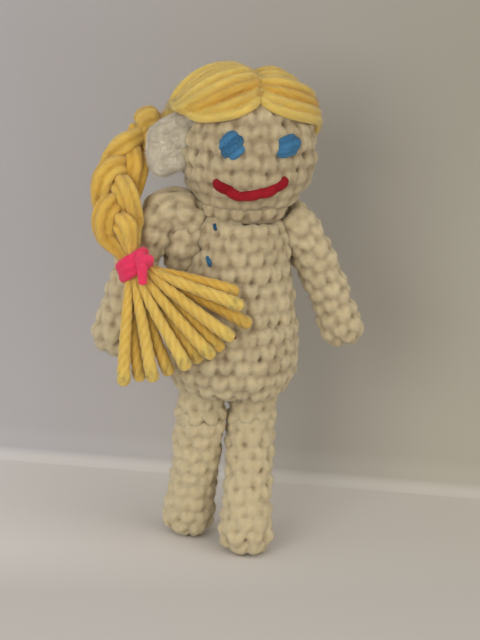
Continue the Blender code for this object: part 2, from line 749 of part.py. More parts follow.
def make_fringe():
    tubes = []
    number = 0
    for layer, ends in ((0, BACK_FRINGE_SHARES), (1, FRONT_FRINGE_SHARES)):
        for place, (angle, length_share) in enumerate(ends):
            number += 1
            path, radii = fringe_path(place, layer, math.radians(angle), FRINGE_LENGTH * length_share)
            skin = loft(rounded_rings(path, radii, cap_steps=2), fringe_front, STRAND_SIDES - 2)
            add_piece(f"fringe_{number:02d}", skin, materials["gold"], fringe)
            tubes.append((path, radii))
    print_least_gap("fringe yarns", tubes)


def stand_on_origin():
    """Moves the whole doll level, so that the middle of its box is over the origin, and prints how far."""
    bpy.context.view_layer.update()
    graph = bpy.context.evaluated_depsgraph_get()
    corners = []
    for obj in bpy.data.objects:
        if obj.type == "MESH" and not obj.hide_render:
            evaluated = obj.evaluated_get(graph)
            corners += [obj.matrix_world @ Vector(corner) for corner in evaluated.bound_box]
    low = [min(corner[k] for corner in corners) for k in range(2)]
    high = [max(corner[k] for corner in corners) for k in range(2)]
    doll.empty.location.x = -(low[0] + high[0]) * HALF
    doll.empty.location.y = -(low[1] + high[1]) * HALF
    bpy.context.view_layer.update()
    for pivot_name in [obj.name for obj in bpy.data.objects if obj.type == "EMPTY"]:
        place = bpy.data.objects[pivot_name].matrix_world.translation
        print(f"{pivot_name}: {place.x:.6f} {place.y:.6f} {place.z:.6f}")


clear_scene()
materials = {
    "cream": new_material("cream_yarn", CREAM, YARN_ROUGHNESS),
    "gold": new_material("gold_yarn", GOLD, YARN_ROUGHNESS),
    "pink": new_material("pink_yarn", PINK, YARN_ROUGHNESS),
    "blue": new_material("blue_yarn", BLUE, YARN_ROUGHNESS),
    "red": new_material("red_yarn", RED, YARN_ROUGHNESS),
    "felt": new_material("white_felt", FELT_WHITE, FELT_ROUGHNESS),
    "stuffing": new_material("stuffing", STUFFING_WHITE, FELT_ROUGHNESS),
    "cutter": new_material("cutter", STUFFING_WHITE, FELT_ROUGHNESS),
}

# Places that follow from the sizes, from the ground up
hip_height = FOOT_RADIUS - SOLE_CUT + LEG_DROP
hip_offset = FOOT_RADIUS + LEG_SPACE * HALF
leg_socket_radius = LEG_RADIUS + SEWING_YARN + 2 * GAP
body_base = hip_height + leg_socket_radius - HIP_SEAT - underside_rise(hip_offset)
neck_rim = body_base + BODY_HEIGHT
arm_socket_radius = ARM_RADIUS + SEWING_YARN + 2 * GAP
shoulder = shoulder_place()
shoulders = {side: Vector((side * shoulder.x, 0, shoulder.y)) for side in (1, -1)}
neck_pivot = neck_rim + NECK_RISE
neck_socket_radius = NECK_RADIUS + GAP
head_middle = neck_rim + HEAD_LIFT + HEAD_RADIUS
head_centre = Vector((0, 0, head_middle))
head_skin = HEAD_RADIUS + GAP
hair_inside = head_skin / (math.cos(HAIR_FACET_TURN) * math.cos(HAIR_FACET_FALL))
plait_root_distance = hair_inside + hair_thickness(PLAIT_ROOT_AIM) + PLAIT_ROOT_RADIUS - PLAIT_ROOT_SEAT
plait_root = head_centre + PLAIT_ROOT_AIM * plait_root_distance
plait_tie = beside_head(PLAIT_TIE_SHARES)
tie_climb = (2 * TIE_YARN_RADIUS + TIE_TURN_SPACE) * TIE_TURNS
fringe_root = plait_tie + TIE_AIM * (tie_climb * HALF + TIE_YARN_RADIUS)
plait_end = fringe_root - TIE_AIM * PLAIT_STRAND_END_RADIUS
plait_start = PLAIT_ROOT_RADIUS + GAP + PLAIT_STRAND_END_RADIUS
plait_step = PLAIT_STRAND_RADIUS
plait_front = (FORWARD * 4 - LEFTWARD).normalized()
tie_left = (LEFTWARD - TIE_AIM * LEFTWARD.dot(TIE_AIM)).normalized()
tie_front = TIE_AIM.cross(tie_left)
tie_core = PLAIT_STRAND_END_RADIUS * 2 / math.sqrt(3) + GAP
fringe_side = LEFTWARD * math.cos(FRINGE_SIDE_TURN) + FORWARD * math.sin(FRINGE_SIDE_TURN)
fringe_down = FORWARD * math.sin(FRINGE_FORWARD_LEAN) - UP * math.cos(FRINGE_FORWARD_LEAN)
fringe_front = fringe_side.cross(-fringe_down).normalized()
body_sockets = (
    ("left_hip_socket", hip_place(1), leg_socket_radius),
    ("right_hip_socket", hip_place(-1), leg_socket_radius),
    ("left_shoulder_socket", shoulders[1], arm_socket_radius),
    ("right_shoulder_socket", shoulders[-1], arm_socket_radius),
)

# The joints' pivots, each carried by the one before it on its limb
doll = Pivot("doll", (0, 0, 0))
neck = Pivot("neck_pivot", (0, 0, neck_pivot), doll)
head = Pivot("head_pivot", (0, 0, neck_pivot), neck)
left_arm_swing = Pivot("arm_left_swing", shoulders[1], doll)
left_arm_lift = Pivot("arm_left_lift", shoulders[1], left_arm_swing)
right_arm_swing = Pivot("arm_right_swing", shoulders[-1], doll)
right_arm_lift = Pivot("arm_right_lift", shoulders[-1], right_arm_swing)
left_leg_swing = Pivot("leg_left_swing", hip_place(1), doll)
left_leg_spread = Pivot("leg_left_spread", hip_place(1), left_leg_swing)
right_leg_swing = Pivot("leg_right_swing", hip_place(-1), doll)
right_leg_spread = Pivot("leg_right_spread", hip_place(-1), right_leg_swing)
gather = Pivot("plait_root_pivot", plait_root, head)
plait = Pivot("plait_pivot", plait_root, gather)
fringe = Pivot("fringe_pivot", fringe_root, plait)

make_body()
make_neck_and_head()
make_arm(
    "arm_left",
    1,
    LEFT_ARM_REACH,
    LEFT_ARM_DROP,
    LEFT_ARM_PATH_SHARES,
    LEFT_ARM_RADIUS_SHARES,
    left_arm_swing,
    left_arm_lift,
)
make_arm(
    "arm_right",
    -1,
    RIGHT_ARM_REACH,
    RIGHT_ARM_DROP,
    RIGHT_ARM_PATH_SHARES,
    RIGHT_ARM_RADIUS_SHARES,
    right_arm_swing,
    right_arm_lift,
)
ground = make_ground_cutter()
make_leg("leg_left", 1, LEFT_TOE_REACH, left_leg_swing, left_leg_spread, ground)
make_leg("leg_right", -1, RIGHT_TOE_REACH, right_leg_swing, right_leg_spread, ground)
head_clearance = add_cutter("head_clearance", ball(head_centre, head_skin, 48), head)
make_eye("eye_left", 1, head_clearance)
make_eye("eye_right", -1, head_clearance)
make_mouth(head_clearance)
make_ear(head_clearance)
make_hair_half("hair_left", 1, LEFT_HAIRLINE)
hair_right = make_hair_half("hair_right", -1, RIGHT_HAIRLINE)
cut(hair_right, add_cutter("plait_root_socket", ball(plait_root, PLAIT_ROOT_RADIUS + GAP), head))
make_parting_seam()
add_piece("hair_gather", ball(plait_root, PLAIT_ROOT_RADIUS, 16), materials["gold"], gather)
make_plait()
make_tie()
make_fringe()
stand_on_origin()
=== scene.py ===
"""The looks of a small crocheted and stuffed doll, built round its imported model.

Metres, +Z up; the doll faces -Y and its left side is at +X. Every cover is one unbroken spiral of
crochet stitches, the hair is laid yarn by yarn, and fine fibres stand out from both.
"""

import json
from math import cos, pi, radians, sin, sqrt

import bpy
import numpy as np
from mathutils import Matrix, Vector
from mathutils.kdtree import KDTree


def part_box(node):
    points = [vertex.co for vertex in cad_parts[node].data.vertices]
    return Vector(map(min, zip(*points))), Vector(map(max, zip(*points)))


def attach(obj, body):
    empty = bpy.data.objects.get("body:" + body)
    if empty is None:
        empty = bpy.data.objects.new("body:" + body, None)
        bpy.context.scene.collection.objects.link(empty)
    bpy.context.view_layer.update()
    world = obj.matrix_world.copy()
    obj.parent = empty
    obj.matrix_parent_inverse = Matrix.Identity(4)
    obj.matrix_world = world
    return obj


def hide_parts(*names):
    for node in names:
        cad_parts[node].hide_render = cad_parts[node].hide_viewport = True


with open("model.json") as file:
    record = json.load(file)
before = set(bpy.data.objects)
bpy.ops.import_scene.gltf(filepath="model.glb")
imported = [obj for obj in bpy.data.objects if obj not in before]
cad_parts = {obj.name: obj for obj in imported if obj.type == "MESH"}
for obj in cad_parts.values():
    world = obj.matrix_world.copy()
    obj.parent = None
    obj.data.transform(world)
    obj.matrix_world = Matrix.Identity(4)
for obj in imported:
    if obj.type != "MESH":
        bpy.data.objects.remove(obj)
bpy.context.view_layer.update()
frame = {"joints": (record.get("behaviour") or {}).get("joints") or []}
joints = {joint["name"]: joint for joint in frame["joints"]}

# Camera, as the photograph has it: its picture is 480 x 640 pixels, each so many metres at the head
PICTURE_HEIGHT_PX = 640
PIXEL = 0.00027
CAMERA_AZIMUTH = radians(-12.5)
CAMERA_ELEVATION = radians(14)
CAMERA_ROLL = radians(4.7)
CAMERA_DISTANCE = 0.60
CAMERA_RIGHT_OF_HEAD = 0.0017
CAMERA_BELOW_HEAD = 0.0464
SENSOR = 36

# Crochet: one stitch, the shell under the stitches and the stuffing under that. The yarn of a stitch is
# given as (share of its width, share of its row, share of its depth, share of the yarn's radius)
STITCH_WIDTH = 0.00465
ROW_HEIGHT = 0.0043
YARN = 0.00118
STITCH_DEPTH = 0.0011
STITCH_RISE = 0.0007
SHELL_DEPTH = 0.0017
FILLING_DEPTH = 0.0032
FILLING_LUMPS = 0.00008
SLANT_SHARE = 0.50
FIRST_ROUND = 6
CLOSED_START = 0.02
STITCH_SHARES = (
    (-0.50, 0.88, -0.30, 0.85), (-0.34, 0.78, 0.55, 1.10), (-0.17, 0.46, 1.00, 1.30), (-0.08, 0.12, 0.70, 1.12),
    (0.00, -0.06, -0.20, 0.90), (0.08, 0.12, 0.70, 1.12), (0.17, 0.46, 1.00, 1.30), (0.34, 0.78, 0.55, 1.10),
)

# Felting: the cells in which the yarns of a piece melt together, the rounds that soften their creases,
# and how much lighter yarn is painted for each metre that it stands out, painted shade in its hollows
CREAM_CELL = 0.00054
GOLD_CELL = 0.00036
FINE_CELL = 0.00030
SOFTENING = 1
TIE_SOFTENING = 2
RELIEF_PAINTED_SHADE = 1100

# Fine fibres: their radius and length, and how many stand on a metre of yarn
FIBRE = 0.000036
FUZZ_LENGTH = 0.0015
CREAM_FUZZ = {"fuzz": 8000, "wisps": 2200}
GOLD_FUZZ = {"fuzz": 9000, "wisps": 2200}
# Painted highlight: the fibres of these sets are painted lighter than their yarn by the given amount
GOLD_BRUSHED = {"per_metre": 9000, "length": 0.0034, "lift": 0.35, "along": 1.6, "brighter": 0.1}
FRINGE_TIP_FUZZ = {
    "per_metre": 60000, "length": 0.0026, "lift": 0.12, "spread": 3.1, "thickness": 2 * FIBRE, "brighter": 1,
    "along": 1, "ways": (1,),
}
FACE_FUZZ = {"fuzz": 14000, "fuzz_length": 0.0007}
LINT_FUZZ = {"fuzz": 20000, "fuzz_length": 0.0007}
FELT_FUZZ = {"fuzz": 20000, "fuzz_length": 0.0011}
TIE_FUZZ = {"fuzz": 16000, "wisps": 1200}
KNOT_FUZZ = {"fuzz": 20000, "wisps": 2000}

# Body, as (share of its radius, share of its height), and how much darker its yarn is painted, painted shade
BODY_SHARES = (
    (0, 0.060), (0.40, 0.060), (0.70, 0.070), (0.84, 0.095), (0.92, 0.140), (0.975, 0.200), (1, 0.30), (0.965, 0.40),
    (0.90, 0.52), (0.83, 0.65), (0.77, 0.76), (0.73, 0.85), (0.70, 0.92), (0.65, 0.968), (0.55, 1.0),
)
BODY_PAINTED_SHADE = -0.08
HEAD_MOUTH_ANGLE = radians(152)
CHIN_DROP = 1.06
# Painted shade: how much darker the head's yarn and the neck's collar are painted
HEAD_PAINTED_SHADE = -0.36
NECK_COLLAR = ((-0.0024, 0.0116), (-0.0002, 0.0118), (0.0020, 0.0114))

# Limbs. Arms: name, side, route as (share of the reach, share of the drop), radii in shares of
# ARM_RADIUS, the collar's aim, the collar as (place along it, radius), and how far the hand is out of
# the route. Legs: name, how far the toe is out of the route, and painted light, how much lighter the
# leg's yarn and its collar are painted
ARM_RADIUS = 0.0047
HAND_RADIUS = 0.0056
LEG_RADIUS = 0.0062
ARMS = (
    (
        "arm_left", 1, ((0, 0), (0.22, 0.16), (0.48, 0.42), (0.78, 0.72), (1, 1)), (1.25, 1.16, 1.08, 1.08),
        (1, 0, -0.1), ((-0.0030, 0.0040), (-0.0008, 0.0048), (0.0014, 0.0044)), (0.0016, 0, -0.0012),
    ),
    (
        "arm_right", -1, ((0, -0.04), (0.25, -0.11), (0.50, 0.03), (0.80, 0.48), (1, 1)), (1.14, 1.19, 1.14, 1.05),
        (-0.10, 0.05, -1),
        ((-0.0010, 0.0040), (0.0020, 0.0056), (0.0055, 0.0058), (0.0090, 0.0050), (0.0125, 0.0036)), (0, 0, 0),
    ),
)
ARM_BALL_SHARE = 0.6
ARM_STITCHED = 0.95
# Painted shade over the whole of each arm, none for now; its collar gets 0.1 more
ARM_PAINTED_SHADE = 0.0
LEGS = (("leg_left", -0.0011, 0.42), ("leg_right", 0, 0.85))
LEG_SHARES = ((0, 0), (0.30, 0.30), (0.55, 0.55), (0.78, 0.78), (1, 1))
LEG_RADIUS_SHARES = (1.02, 1.00, 0.97, 1.00)
LEG_COLLAR = ((-0.0020, 0.0061), (0.0005, 0.0062), (0.0045, 0.0062), (0.0080, 0.0058), (0.0100, 0.0042))
LEG_STITCHED = 0.86

# Face: degrees round the head from the front, positive to the doll's left, and above its middle
MOUTH_PLACES = ((-38, -23), (-30, -28), (-17, -32), (-4, -30), (8, -27), (17, -22.5), (24, -18))
MOUTH_STITCHES = 5
EYE_YARN = 0.00118
EYE_STRANDS = ((-0.80, 0.0004), (-0.42, 0.0011), (0, 0.0014), (0.42, 0.0011), (0.80, 0.0004))

# Hair: the name and side of each half, the routes of its first and its last yarn as (turn from the front
# to the doll's left, angle from straight up), in degrees, and where it ends on the head
HAIR_HALVES = (
    (
        "hair_right", -1,
        ((0, 31), (-10, 43.5), (-25, 54), (-43, 61.5), (-60, 64.5), (-80, 60), (-97, 67), (-103, 79)),
        ((180, 68), (210, 72), (235, 76), (257, 79)),
        ((0, 31), (10, 42), (25, 53), (43, 60), (60, 63), (84, 59), (100, 80), (115, 102), (150, 116), (180, 120)),
    ),
    (
        "hair_left", 1,
        ((0, 31), (9, 43), (22, 50), (40, 55.5), (60, 60), (88, 68), (120, 94), (150, 113), (180, 119), (210, 112),
         (236, 95), (257, 79)),
        ((180, 68), (205, 74), (230, 78), (257, 79)),
        ((0, 31), (9, 42), (22, 49), (40, 54.5), (60, 59), (90, 68), (120, 94), (150, 114), (180, 120)),
    ),
)
HAIR_YARN = 0.00122
HAIR_THICKNESS = 0.0030
HAIR_BULGES = (((-1, 0, 1), 0.0037, 50), ((0.6, 0, 1), 0.0021, 48))
FRONT_YARNS = 2
FRONT_LIFT = -0.0005
PARTING_BLEND = 0.0045
HAIR_YARNS = 15
PARTING_YARN = 0.00055
GATHER_YARN = 0.00120
GATHER_YARNS = 11

# Twist: the plies of the yarn, the run of one full twist, and the space between the rings of a yarn
PLIES = 4
LAY = 0.012
RING_SPACE = 0.0008

# Plait, in shares of the head's radius across and up, and of the body's radius forwards
PLAIT_SHARES = (
    (-1.667, 0.247, -0.139), (-1.878, 0.079, -0.456), (-1.967, -0.157, -0.744), (-1.956, -0.371, -1.089),
    (-1.822, -0.551, -1.444),
)
PLAIT_TIE_SHARES = (-1.744, -0.652, -1.644)
PLAIT_TURNS = 1.3
PLAIT_TURNED = 0.72
PLAIT_HALF_WIDTH = 0.0040
PLAIT_HALF_DEPTH = 0.0034
PLAIT_YARNS = 6
# Painted shade: how much darker the plait and its gathered bunch are painted than the hair
PLAIT_PAINTED_SHADE = -0.3

# Tie: a wrap of so many turns, and the two ends of its knot, as (aim, length)
TIE_AIM = (0.5, -0.35, -0.9)
TIE_DROP = 0.0012
TIE_TURNS = 2.6
TIE_WIDTH = 0.0040
TIE_REACH = 0.0036
TIE_YARN = 0.00150
KNOT_REACH = 0.0046
KNOT_ENDS = (((0.875, -0.25, 0.25), 0.0024), ((0.10, -0.40, -0.9), 0.0054))

# Fringe: a back and a front layer, each yarn as (degrees from straight down, share of the length)
FRINGE_LENGTH = 0.0305
BACK_FRINGE_SHARES = ((9, 0.86), (25, 0.87), (39, 0.89), (53.5, 0.93), (67, 1.00), (80, 0.78))
FRONT_FRINGE_SHARES = ((2, 0.88), (17, 0.87), (32, 0.87), (46, 0.91), (60, 0.92), (74, 0.85))
FRINGE_SIDE_TURN = radians(12.5)
FRINGE_FORWARD_LEAN = radians(4)
FRINGE_SPREAD = 0.0095
FRINGE_LAYER = 0.0032
FRINGE_LAYER_AT_TIE = 0.0008
FRINGE_STEP_AT_TIE = 0.0010
FRINGE_SAG = 0.001
FRINGE_TIP_RINGS = 4

# Ear, as (share of its reach, top, bottom), the last two in shares of its half height
EAR_REACH = 0.0108
EAR_HALF_HEIGHT = 0.0080
EAR_HALF_THICKNESS = 0.0015
EAR_CURL = 0.0020
EAR_LUMPS = 0.00035
EAR_SIDES = 28
EAR_OUTLINE_SHARES = (
    (-0.20, 0.85, -0.60), (0.00, 1.04, -0.75), (0.25, 1.10, -0.90), (0.45, 1.08, -1.00),
    (0.65, 0.92, -1.02), (0.85, 0.72, -0.92), (1.00, 0.55, -0.62), (1.07, 0.25, -0.20),
)

# Colours, linear: each yarn's own and a darker one that is painted in as shade, in its creases and hollows,
# then those of the stage, with painted light and shade, as the rows ((left, right), (left, right)), from
# the foot of the wall up and from the doll's front to the wall
CREAM = ((0.56, 0.465, 0.285), (0.29, 0.215, 0.125))
GOLD = ((0.68, 0.49, 0.125), (0.54, 0.28, 0.03))
PINK = ((0.78, 0.045, 0.12), (0.60, 0.02, 0.08))
BLUE = ((0.06, 0.20, 0.36), (0.010, 0.045, 0.10))
RED = ((0.30, 0.010, 0.018), (0.16, 0.004, 0.008))
FELT = ((0.78, 0.71, 0.57), (0.62, 0.54, 0.40))
FILLING = ((0.80, 0.79, 0.76), (0.72, 0.70, 0.66))
WALL_COLOURS_WITH_PAINTED_LIGHT = (((0.43, 0.404, 0.43), (0.395, 0.368, 0.303)), ((0.37, 0.345, 0.355), (0.32, 0.30, 0.25)))
FLOOR_COLOURS_WITH_PAINTED_LIGHT = (((0.578, 0.555, 0.525), (0.578, 0.545, 0.505)), ((0.73, 0.70, 0.67), (0.61, 0.57, 0.51)))

# Stage: a floor, and a wall behind the doll that a bend joins to it
STAGE_HALF_WIDTH = 1.2
FLOOR_HALF_DEPTH = 0.8
WALL_HEIGHT = 0.9
WALL_BEHIND = 0.065
COVE = 0.009
# Where the stage's painted light changes: across its middle, up the wall and on the floor near the wall
COLOUR_BLEND_WIDTH = 0.16
WALL_RISE = (0.02, 0.13)
FLOOR_DEPTH = (-0.040, -0.005)

# Light: each lamp's name, azimuth, elevation, size, power and colour
LAMPS = (("key", -35, 16, 0.40, 3.2, (0.95, 0.98, 1.0)), ("fill", 40, 18, 0.70, 1.2, (1.0, 0.94, 0.82)))
LAMP_DISTANCE = 0.9
LAMP_TARGET = (0, 0, 0.06)
WORLD_COLOUR = (1.0, 0.98, 0.96)
WORLD_STRENGTH = 0.84
SEED = 7

scene = bpy.context.scene
rng = np.random.default_rng(SEED)
TAU = 2 * pi
UP = np.array((0.0, 0.0, 1.0))


def vec(*values):
    return np.array(values, float)


def unit(v):
    v = np.asarray(v, float)
    return v / np.maximum(np.linalg.norm(v, axis=-1, keepdims=True), 1e-12)


def aimed(turn, level, height):
    """Directions at turns from the front to the doll's left, with their level and their upright parts."""
    return np.stack(np.broadcast_arrays(np.sin(turn) * level, -np.cos(turn) * level, height), axis=-1)


def linked(name, data):
    obj = bpy.data.objects.new(name, data)
    scene.collection.objects.link(obj)
    return obj


def smooth(points, steps):
    """A smooth curve through rows of numbers, with so many steps between each two."""
    p = np.asarray(points, float)
    p = np.vstack([2 * p[0] - p[1], p, 2 * p[-1] - p[-2]])
    a, b, c, d = p[:-3, None], p[1:-2, None], p[2:-1, None], p[3:, None]
    t = (np.arange(steps) / steps)[None, :, None]
    rows = 0.5 * (2 * b + t * (c - a) + t**2 * (2 * a - 5 * b + 4 * c - d) + t**3 * (3 * b - a - 3 * c + d))
    return np.vstack([rows.reshape(-1, p.shape[1]), p[-2]])


def run_along(path):
    """How far along a path each of its points is."""
    return np.concatenate([[0], np.cumsum(np.linalg.norm(np.diff(path, axis=0), axis=1))])


def turned(first, second, angle):
    """Directions that lie at an angle from the first towards the second."""
    angle = np.asarray(angle)[..., None]
    return np.cos(angle) * first + np.sin(angle) * second


def resampled(rows, count):
    """Rows whose first three numbers are a path, at so many even places along it."""
    rows = np.asarray(rows, float)
    run = run_along(rows[:, :3])
    marks = np.linspace(0, run[-1], count)
    return np.column_stack([np.interp(marks, run, rows[:, k]) for k in range(rows.shape[1])])


def spaced(rows, space):
    """Rows whose first three numbers are a path, at even steps along it."""
    rows = np.asarray(rows, float)
    return resampled(rows, max(4, round(run_along(rows[:, :3])[-1] / space) + 1))


def transported(tangents, first):
    """Side directions along a path that don't spin round it."""
    sides = np.empty_like(tangents)
    side = first
    for i, tangent in enumerate(tangents):
        side = side - tangent * (side @ tangent)
        side = side / sqrt(side @ side)
        sides[i] = side
    return sides


def between(first, last, share):
    """Directions part of the way from the first ones to the last ones, at an even angle."""
    angle = np.arccos(np.clip((first * last).sum(axis=1), -1, 1))[:, None]
    angle = np.maximum(angle, 1e-4)
    return unit(first * np.sin((1 - share) * angle) + last * np.sin(share * angle))


def relief(points, normals, quads, rounds=8):
    """How far each point of a mesh of quads stands out of the mesh's own soft average."""
    pairs = np.stack([quads, np.roll(quads, -1, axis=1)])
    ends, others = pairs.ravel(), pairs[::-1].ravel()
    count = np.maximum(np.bincount(ends, minlength=len(points)), 1)
    flat = points.astype(float)
    for _ in range(rounds):
        sums = [np.bincount(ends, flat[others, k], len(points)) for k in range(3)]
        flat = np.stack(sums, axis=1) / count[:, None]
    return ((points - flat) * normals).sum(axis=1)


class YarnMesh:
    """Tubes of yarn, sheets and fibres gathered into one mesh, with the twist and the tone of each."""

    def __init__(self):
        self.points = []
        self.faces = []
        self.uvs = []
        self.tones = []
        self.count = 0
        self.strands = []

    def add_points(self, points, tone):
        first = self.count
        points = np.asarray(points, float).reshape(-1, 3)
        self.points.append(points)
        self.tones.append(np.broadcast_to(np.asarray(tone, float), (len(points),)))
        self.count += len(points)
        return first

    def add_faces(self, corners, uvs=None):
        corners = np.asarray(corners)
        self.faces += corners.tolist()
        self.uvs.append(np.zeros((corners.size, 2)) if uvs is None else np.asarray(uvs).reshape(-1, 2))

    def add_grid(self, points, tone, uv=None, wrap=True, close_ends=False):
        """A grid of points, rows by columns, closed round the columns if wrap."""
        rows, columns = points.shape[:2]
        uv = plain_uv(points) if uv is None else uv
        tone = np.broadcast_to(np.asarray(tone, float), (rows, columns))
        first = self.add_points(points, tone.reshape(-1))
        index = first + np.arange(rows * columns).reshape(rows, columns)
        beside = np.roll(index, -1, axis=1)
        quads = np.stack([index[:-1], beside[:-1], beside[1:], index[1:]], axis=-1)
        corners = np.stack([uv[:-1, :-1], uv[:-1, 1:], uv[1:, 1:], uv[1:, :-1]], axis=2)
        if not wrap:
            quads = quads[:, :-1]
        self.add_faces(quads.reshape(-1, 4), corners[:, : quads.shape[1]])
        if close_ends:
            for row, last in ((0, False), (-1, True)):
                hub = self.add_points(points[row].mean(axis=0), tone[row].mean())
                edge = (index[row], beside[row]) if last else (beside[row], index[row])
                self.add_faces(np.stack([*edge, np.full(columns, hub)], axis=1))

    def add_tube(self, path, radius, sides=8, tone=0.5, plies=0, lobe=0.1, outward=None, turn=0.0, rough=0.03):
        """A tube with round ends along a path. outward is the way its fibres may stand, at each ring."""
        path = np.asarray(path, float)
        count = len(path)
        radius = np.broadcast_to(np.asarray(radius, float), (count,))
        tone = np.broadcast_to(np.asarray(tone, float), (count,))
        tangents = unit(np.gradient(path, axis=0))
        run = run_along(path)
        if outward is not None:
            outward = unit(np.broadcast_to(np.asarray(outward, float), (count, 3)))
        self.strands.append((path, tangents, radius, outward, tone))
        rings = np.pad(np.arange(count), 2, "edge")
        path, radius, tangents, run, tone = path[rings], radius[rings], tangents[rings], run[rings], tone[rings]
        round_off = np.concatenate([(-1.05, -0.55), np.zeros(count), (0.55, 1.05)])
        path = path + tangents * radius[:, None] * np.sin(round_off)[:, None]
        radius = radius * np.cos(round_off)
        side = transported(tangents, unit(np.cross(tangents[0], vec(0.31, 0.52, 0.79))))
        other = np.cross(tangents, side)
        spin = (TAU * np.arange(sides) / sides)[None, :] + turn
        lobes = 1 + rough * rng.normal(0, 1, (len(path), sides))
        if plies:
            lobes = lobes - lobe + lobe * np.abs(np.cos(0.5 * plies * (spin - TAU * run[:, None] / LAY)))
        spoke = turned(side[:, None], other[:, None], spin)
        points = path[:, None] + (radius[:, None] * lobes)[..., None] * spoke
        around = (np.arange(sides + 1) / sides + turn / TAU)[None, :]
        uv = np.stack(np.broadcast_arrays(around, run[:, None] / LAY), axis=-1)
        self.add_grid(points, tone[:, None], uv, close_ends=True)

    def add_fuzz(self, per_metre, length, lift=0.45, spread=1.25, thickness=FIBRE, brighter=0.2, along=0.0,
                 ways=(-1, 1), strands=None):
        """Fine fibres on the yarns added so far, each a thin cone that stands out or lies along its yarn."""
        roots, aims, tones = [], [], []
        for path, tangents, radius, outward, tone in self.strands if strands is None else strands:
            wanted = rng.poisson(run_along(path)[-1] * per_metre)
            pick = rng.uniform(0, len(path) - 1.001, wanted)
            low = pick.astype(int)
            share = (pick - low)[:, None]
            tangent = tangents[low]
            out = rng.normal(size=(wanted, 3)) if outward is None else outward[low]
            out = unit(out - tangent * (out * tangent).sum(1, keepdims=True))
            radial = turned(out, np.cross(tangent, out), rng.uniform(-spread, spread, wanted))
            middle = path[low] * (1 - share) + path[low + 1] * share
            roots.append(middle + radial * radius[low, None] * 0.85)
            stand_out = rng.uniform(0.15, 1, wanted)[:, None] * lift
            forward = along * rng.choice(ways, wanted)[:, None] * tangent
            aims.append(radial * stand_out + forward + 0.40 * rng.normal(size=(wanted, 3)))
            tones.append(tone[low])
        root, aim = np.vstack(roots), unit(np.vstack(aims))
        count = len(root)
        tip = root + aim * length * rng.uniform(0.35, 1.0, count)[:, None] ** 1.5
        side = unit(np.cross(aim, rng.normal(size=(count, 3))))
        other = np.cross(aim, side)
        ring = [root + thickness * (side * cos(a) + other * sin(a)) for a in (0, TAU / 3, 2 * TAU / 3)]
        # Painted highlight: each fibre is painted lighter than its yarn
        tone = np.repeat(np.clip(np.concatenate(tones) + brighter, 0, 1), 4)
        first = self.add_points(np.stack([*ring, tip], axis=1), tone)
        base = first + 4 * np.arange(count)[:, None]
        for corners in ((0, 1, 3), (1, 2, 3), (2, 0, 3)):
            self.add_faces(base + np.array(corners)[None])

    def felted(self, cell, rounds=SOFTENING):
        """The parts gathered so far, melted into one skin with soft creases and painted shade in its hollows."""
        mesh = bpy.data.meshes.new("parts")
        old = np.vstack(self.points)
        mesh.from_pydata(old.tolist(), [], self.faces)
        source = linked("parts", mesh)
        melt = source.modifiers.new("melt", "REMESH")
        melt.mode = "VOXEL"
        melt.voxel_size = cell
        soften = source.modifiers.new("soften", "SMOOTH")
        soften.factor = 0.5
        soften.iterations = rounds
        melted = source.evaluated_get(bpy.context.evaluated_depsgraph_get()).to_mesh()
        points, normals = np.empty((2, len(melted.vertices), 3), np.float32)
        melted.vertices.foreach_get("co", points.ravel())
        melted.vertices.foreach_get("normal", normals.ravel())
        corners = np.empty((len(melted.loops) // 4, 4), np.int32)
        melted.loops.foreach_get("vertex_index", corners.ravel())
        bpy.data.objects.remove(source)
        bpy.data.meshes.remove(mesh)
        tree = KDTree(len(old))
        for i, point in enumerate(old):
            tree.insert(point, i)
        tree.balance()
        tones = np.concatenate(self.tones)[[tree.find(point)[1] for point in points]]
        # Painted shade: the tone is lowered where the skin dips and raised where it stands out
        tones = tones + RELIEF_PAINTED_SHADE * relief(points, normals, corners)
        self.points, self.faces, self.uvs, self.tones, self.count = [], [], [], [], 0
        self.add_points(points, tones)
        self.add_faces(corners)
        return self

    def made(self, name, material, painted_light_shift=0.0):
        """The Blender object of what was gathered."""
        mesh = bpy.data.meshes.new(name)
        mesh.from_pydata(np.vstack(self.points).tolist(), [], self.faces)
        layer = mesh.uv_layers.new(name="twist")
        layer.data.foreach_set("uv", np.vstack(self.uvs).astype(np.float32).ravel())
        tone = mesh.attributes.new("tone", "FLOAT", "POINT")
        # Painted light and shade: the shift lightens or darkens the whole piece
        tones = np.clip(np.concatenate(self.tones) + painted_light_shift, 0, 1)
        tone.data.foreach_set("value", tones.astype(np.float32))
        mesh.shade_smooth()
        mesh.materials.append(material)
        mesh.update()
        return linked(name, mesh)


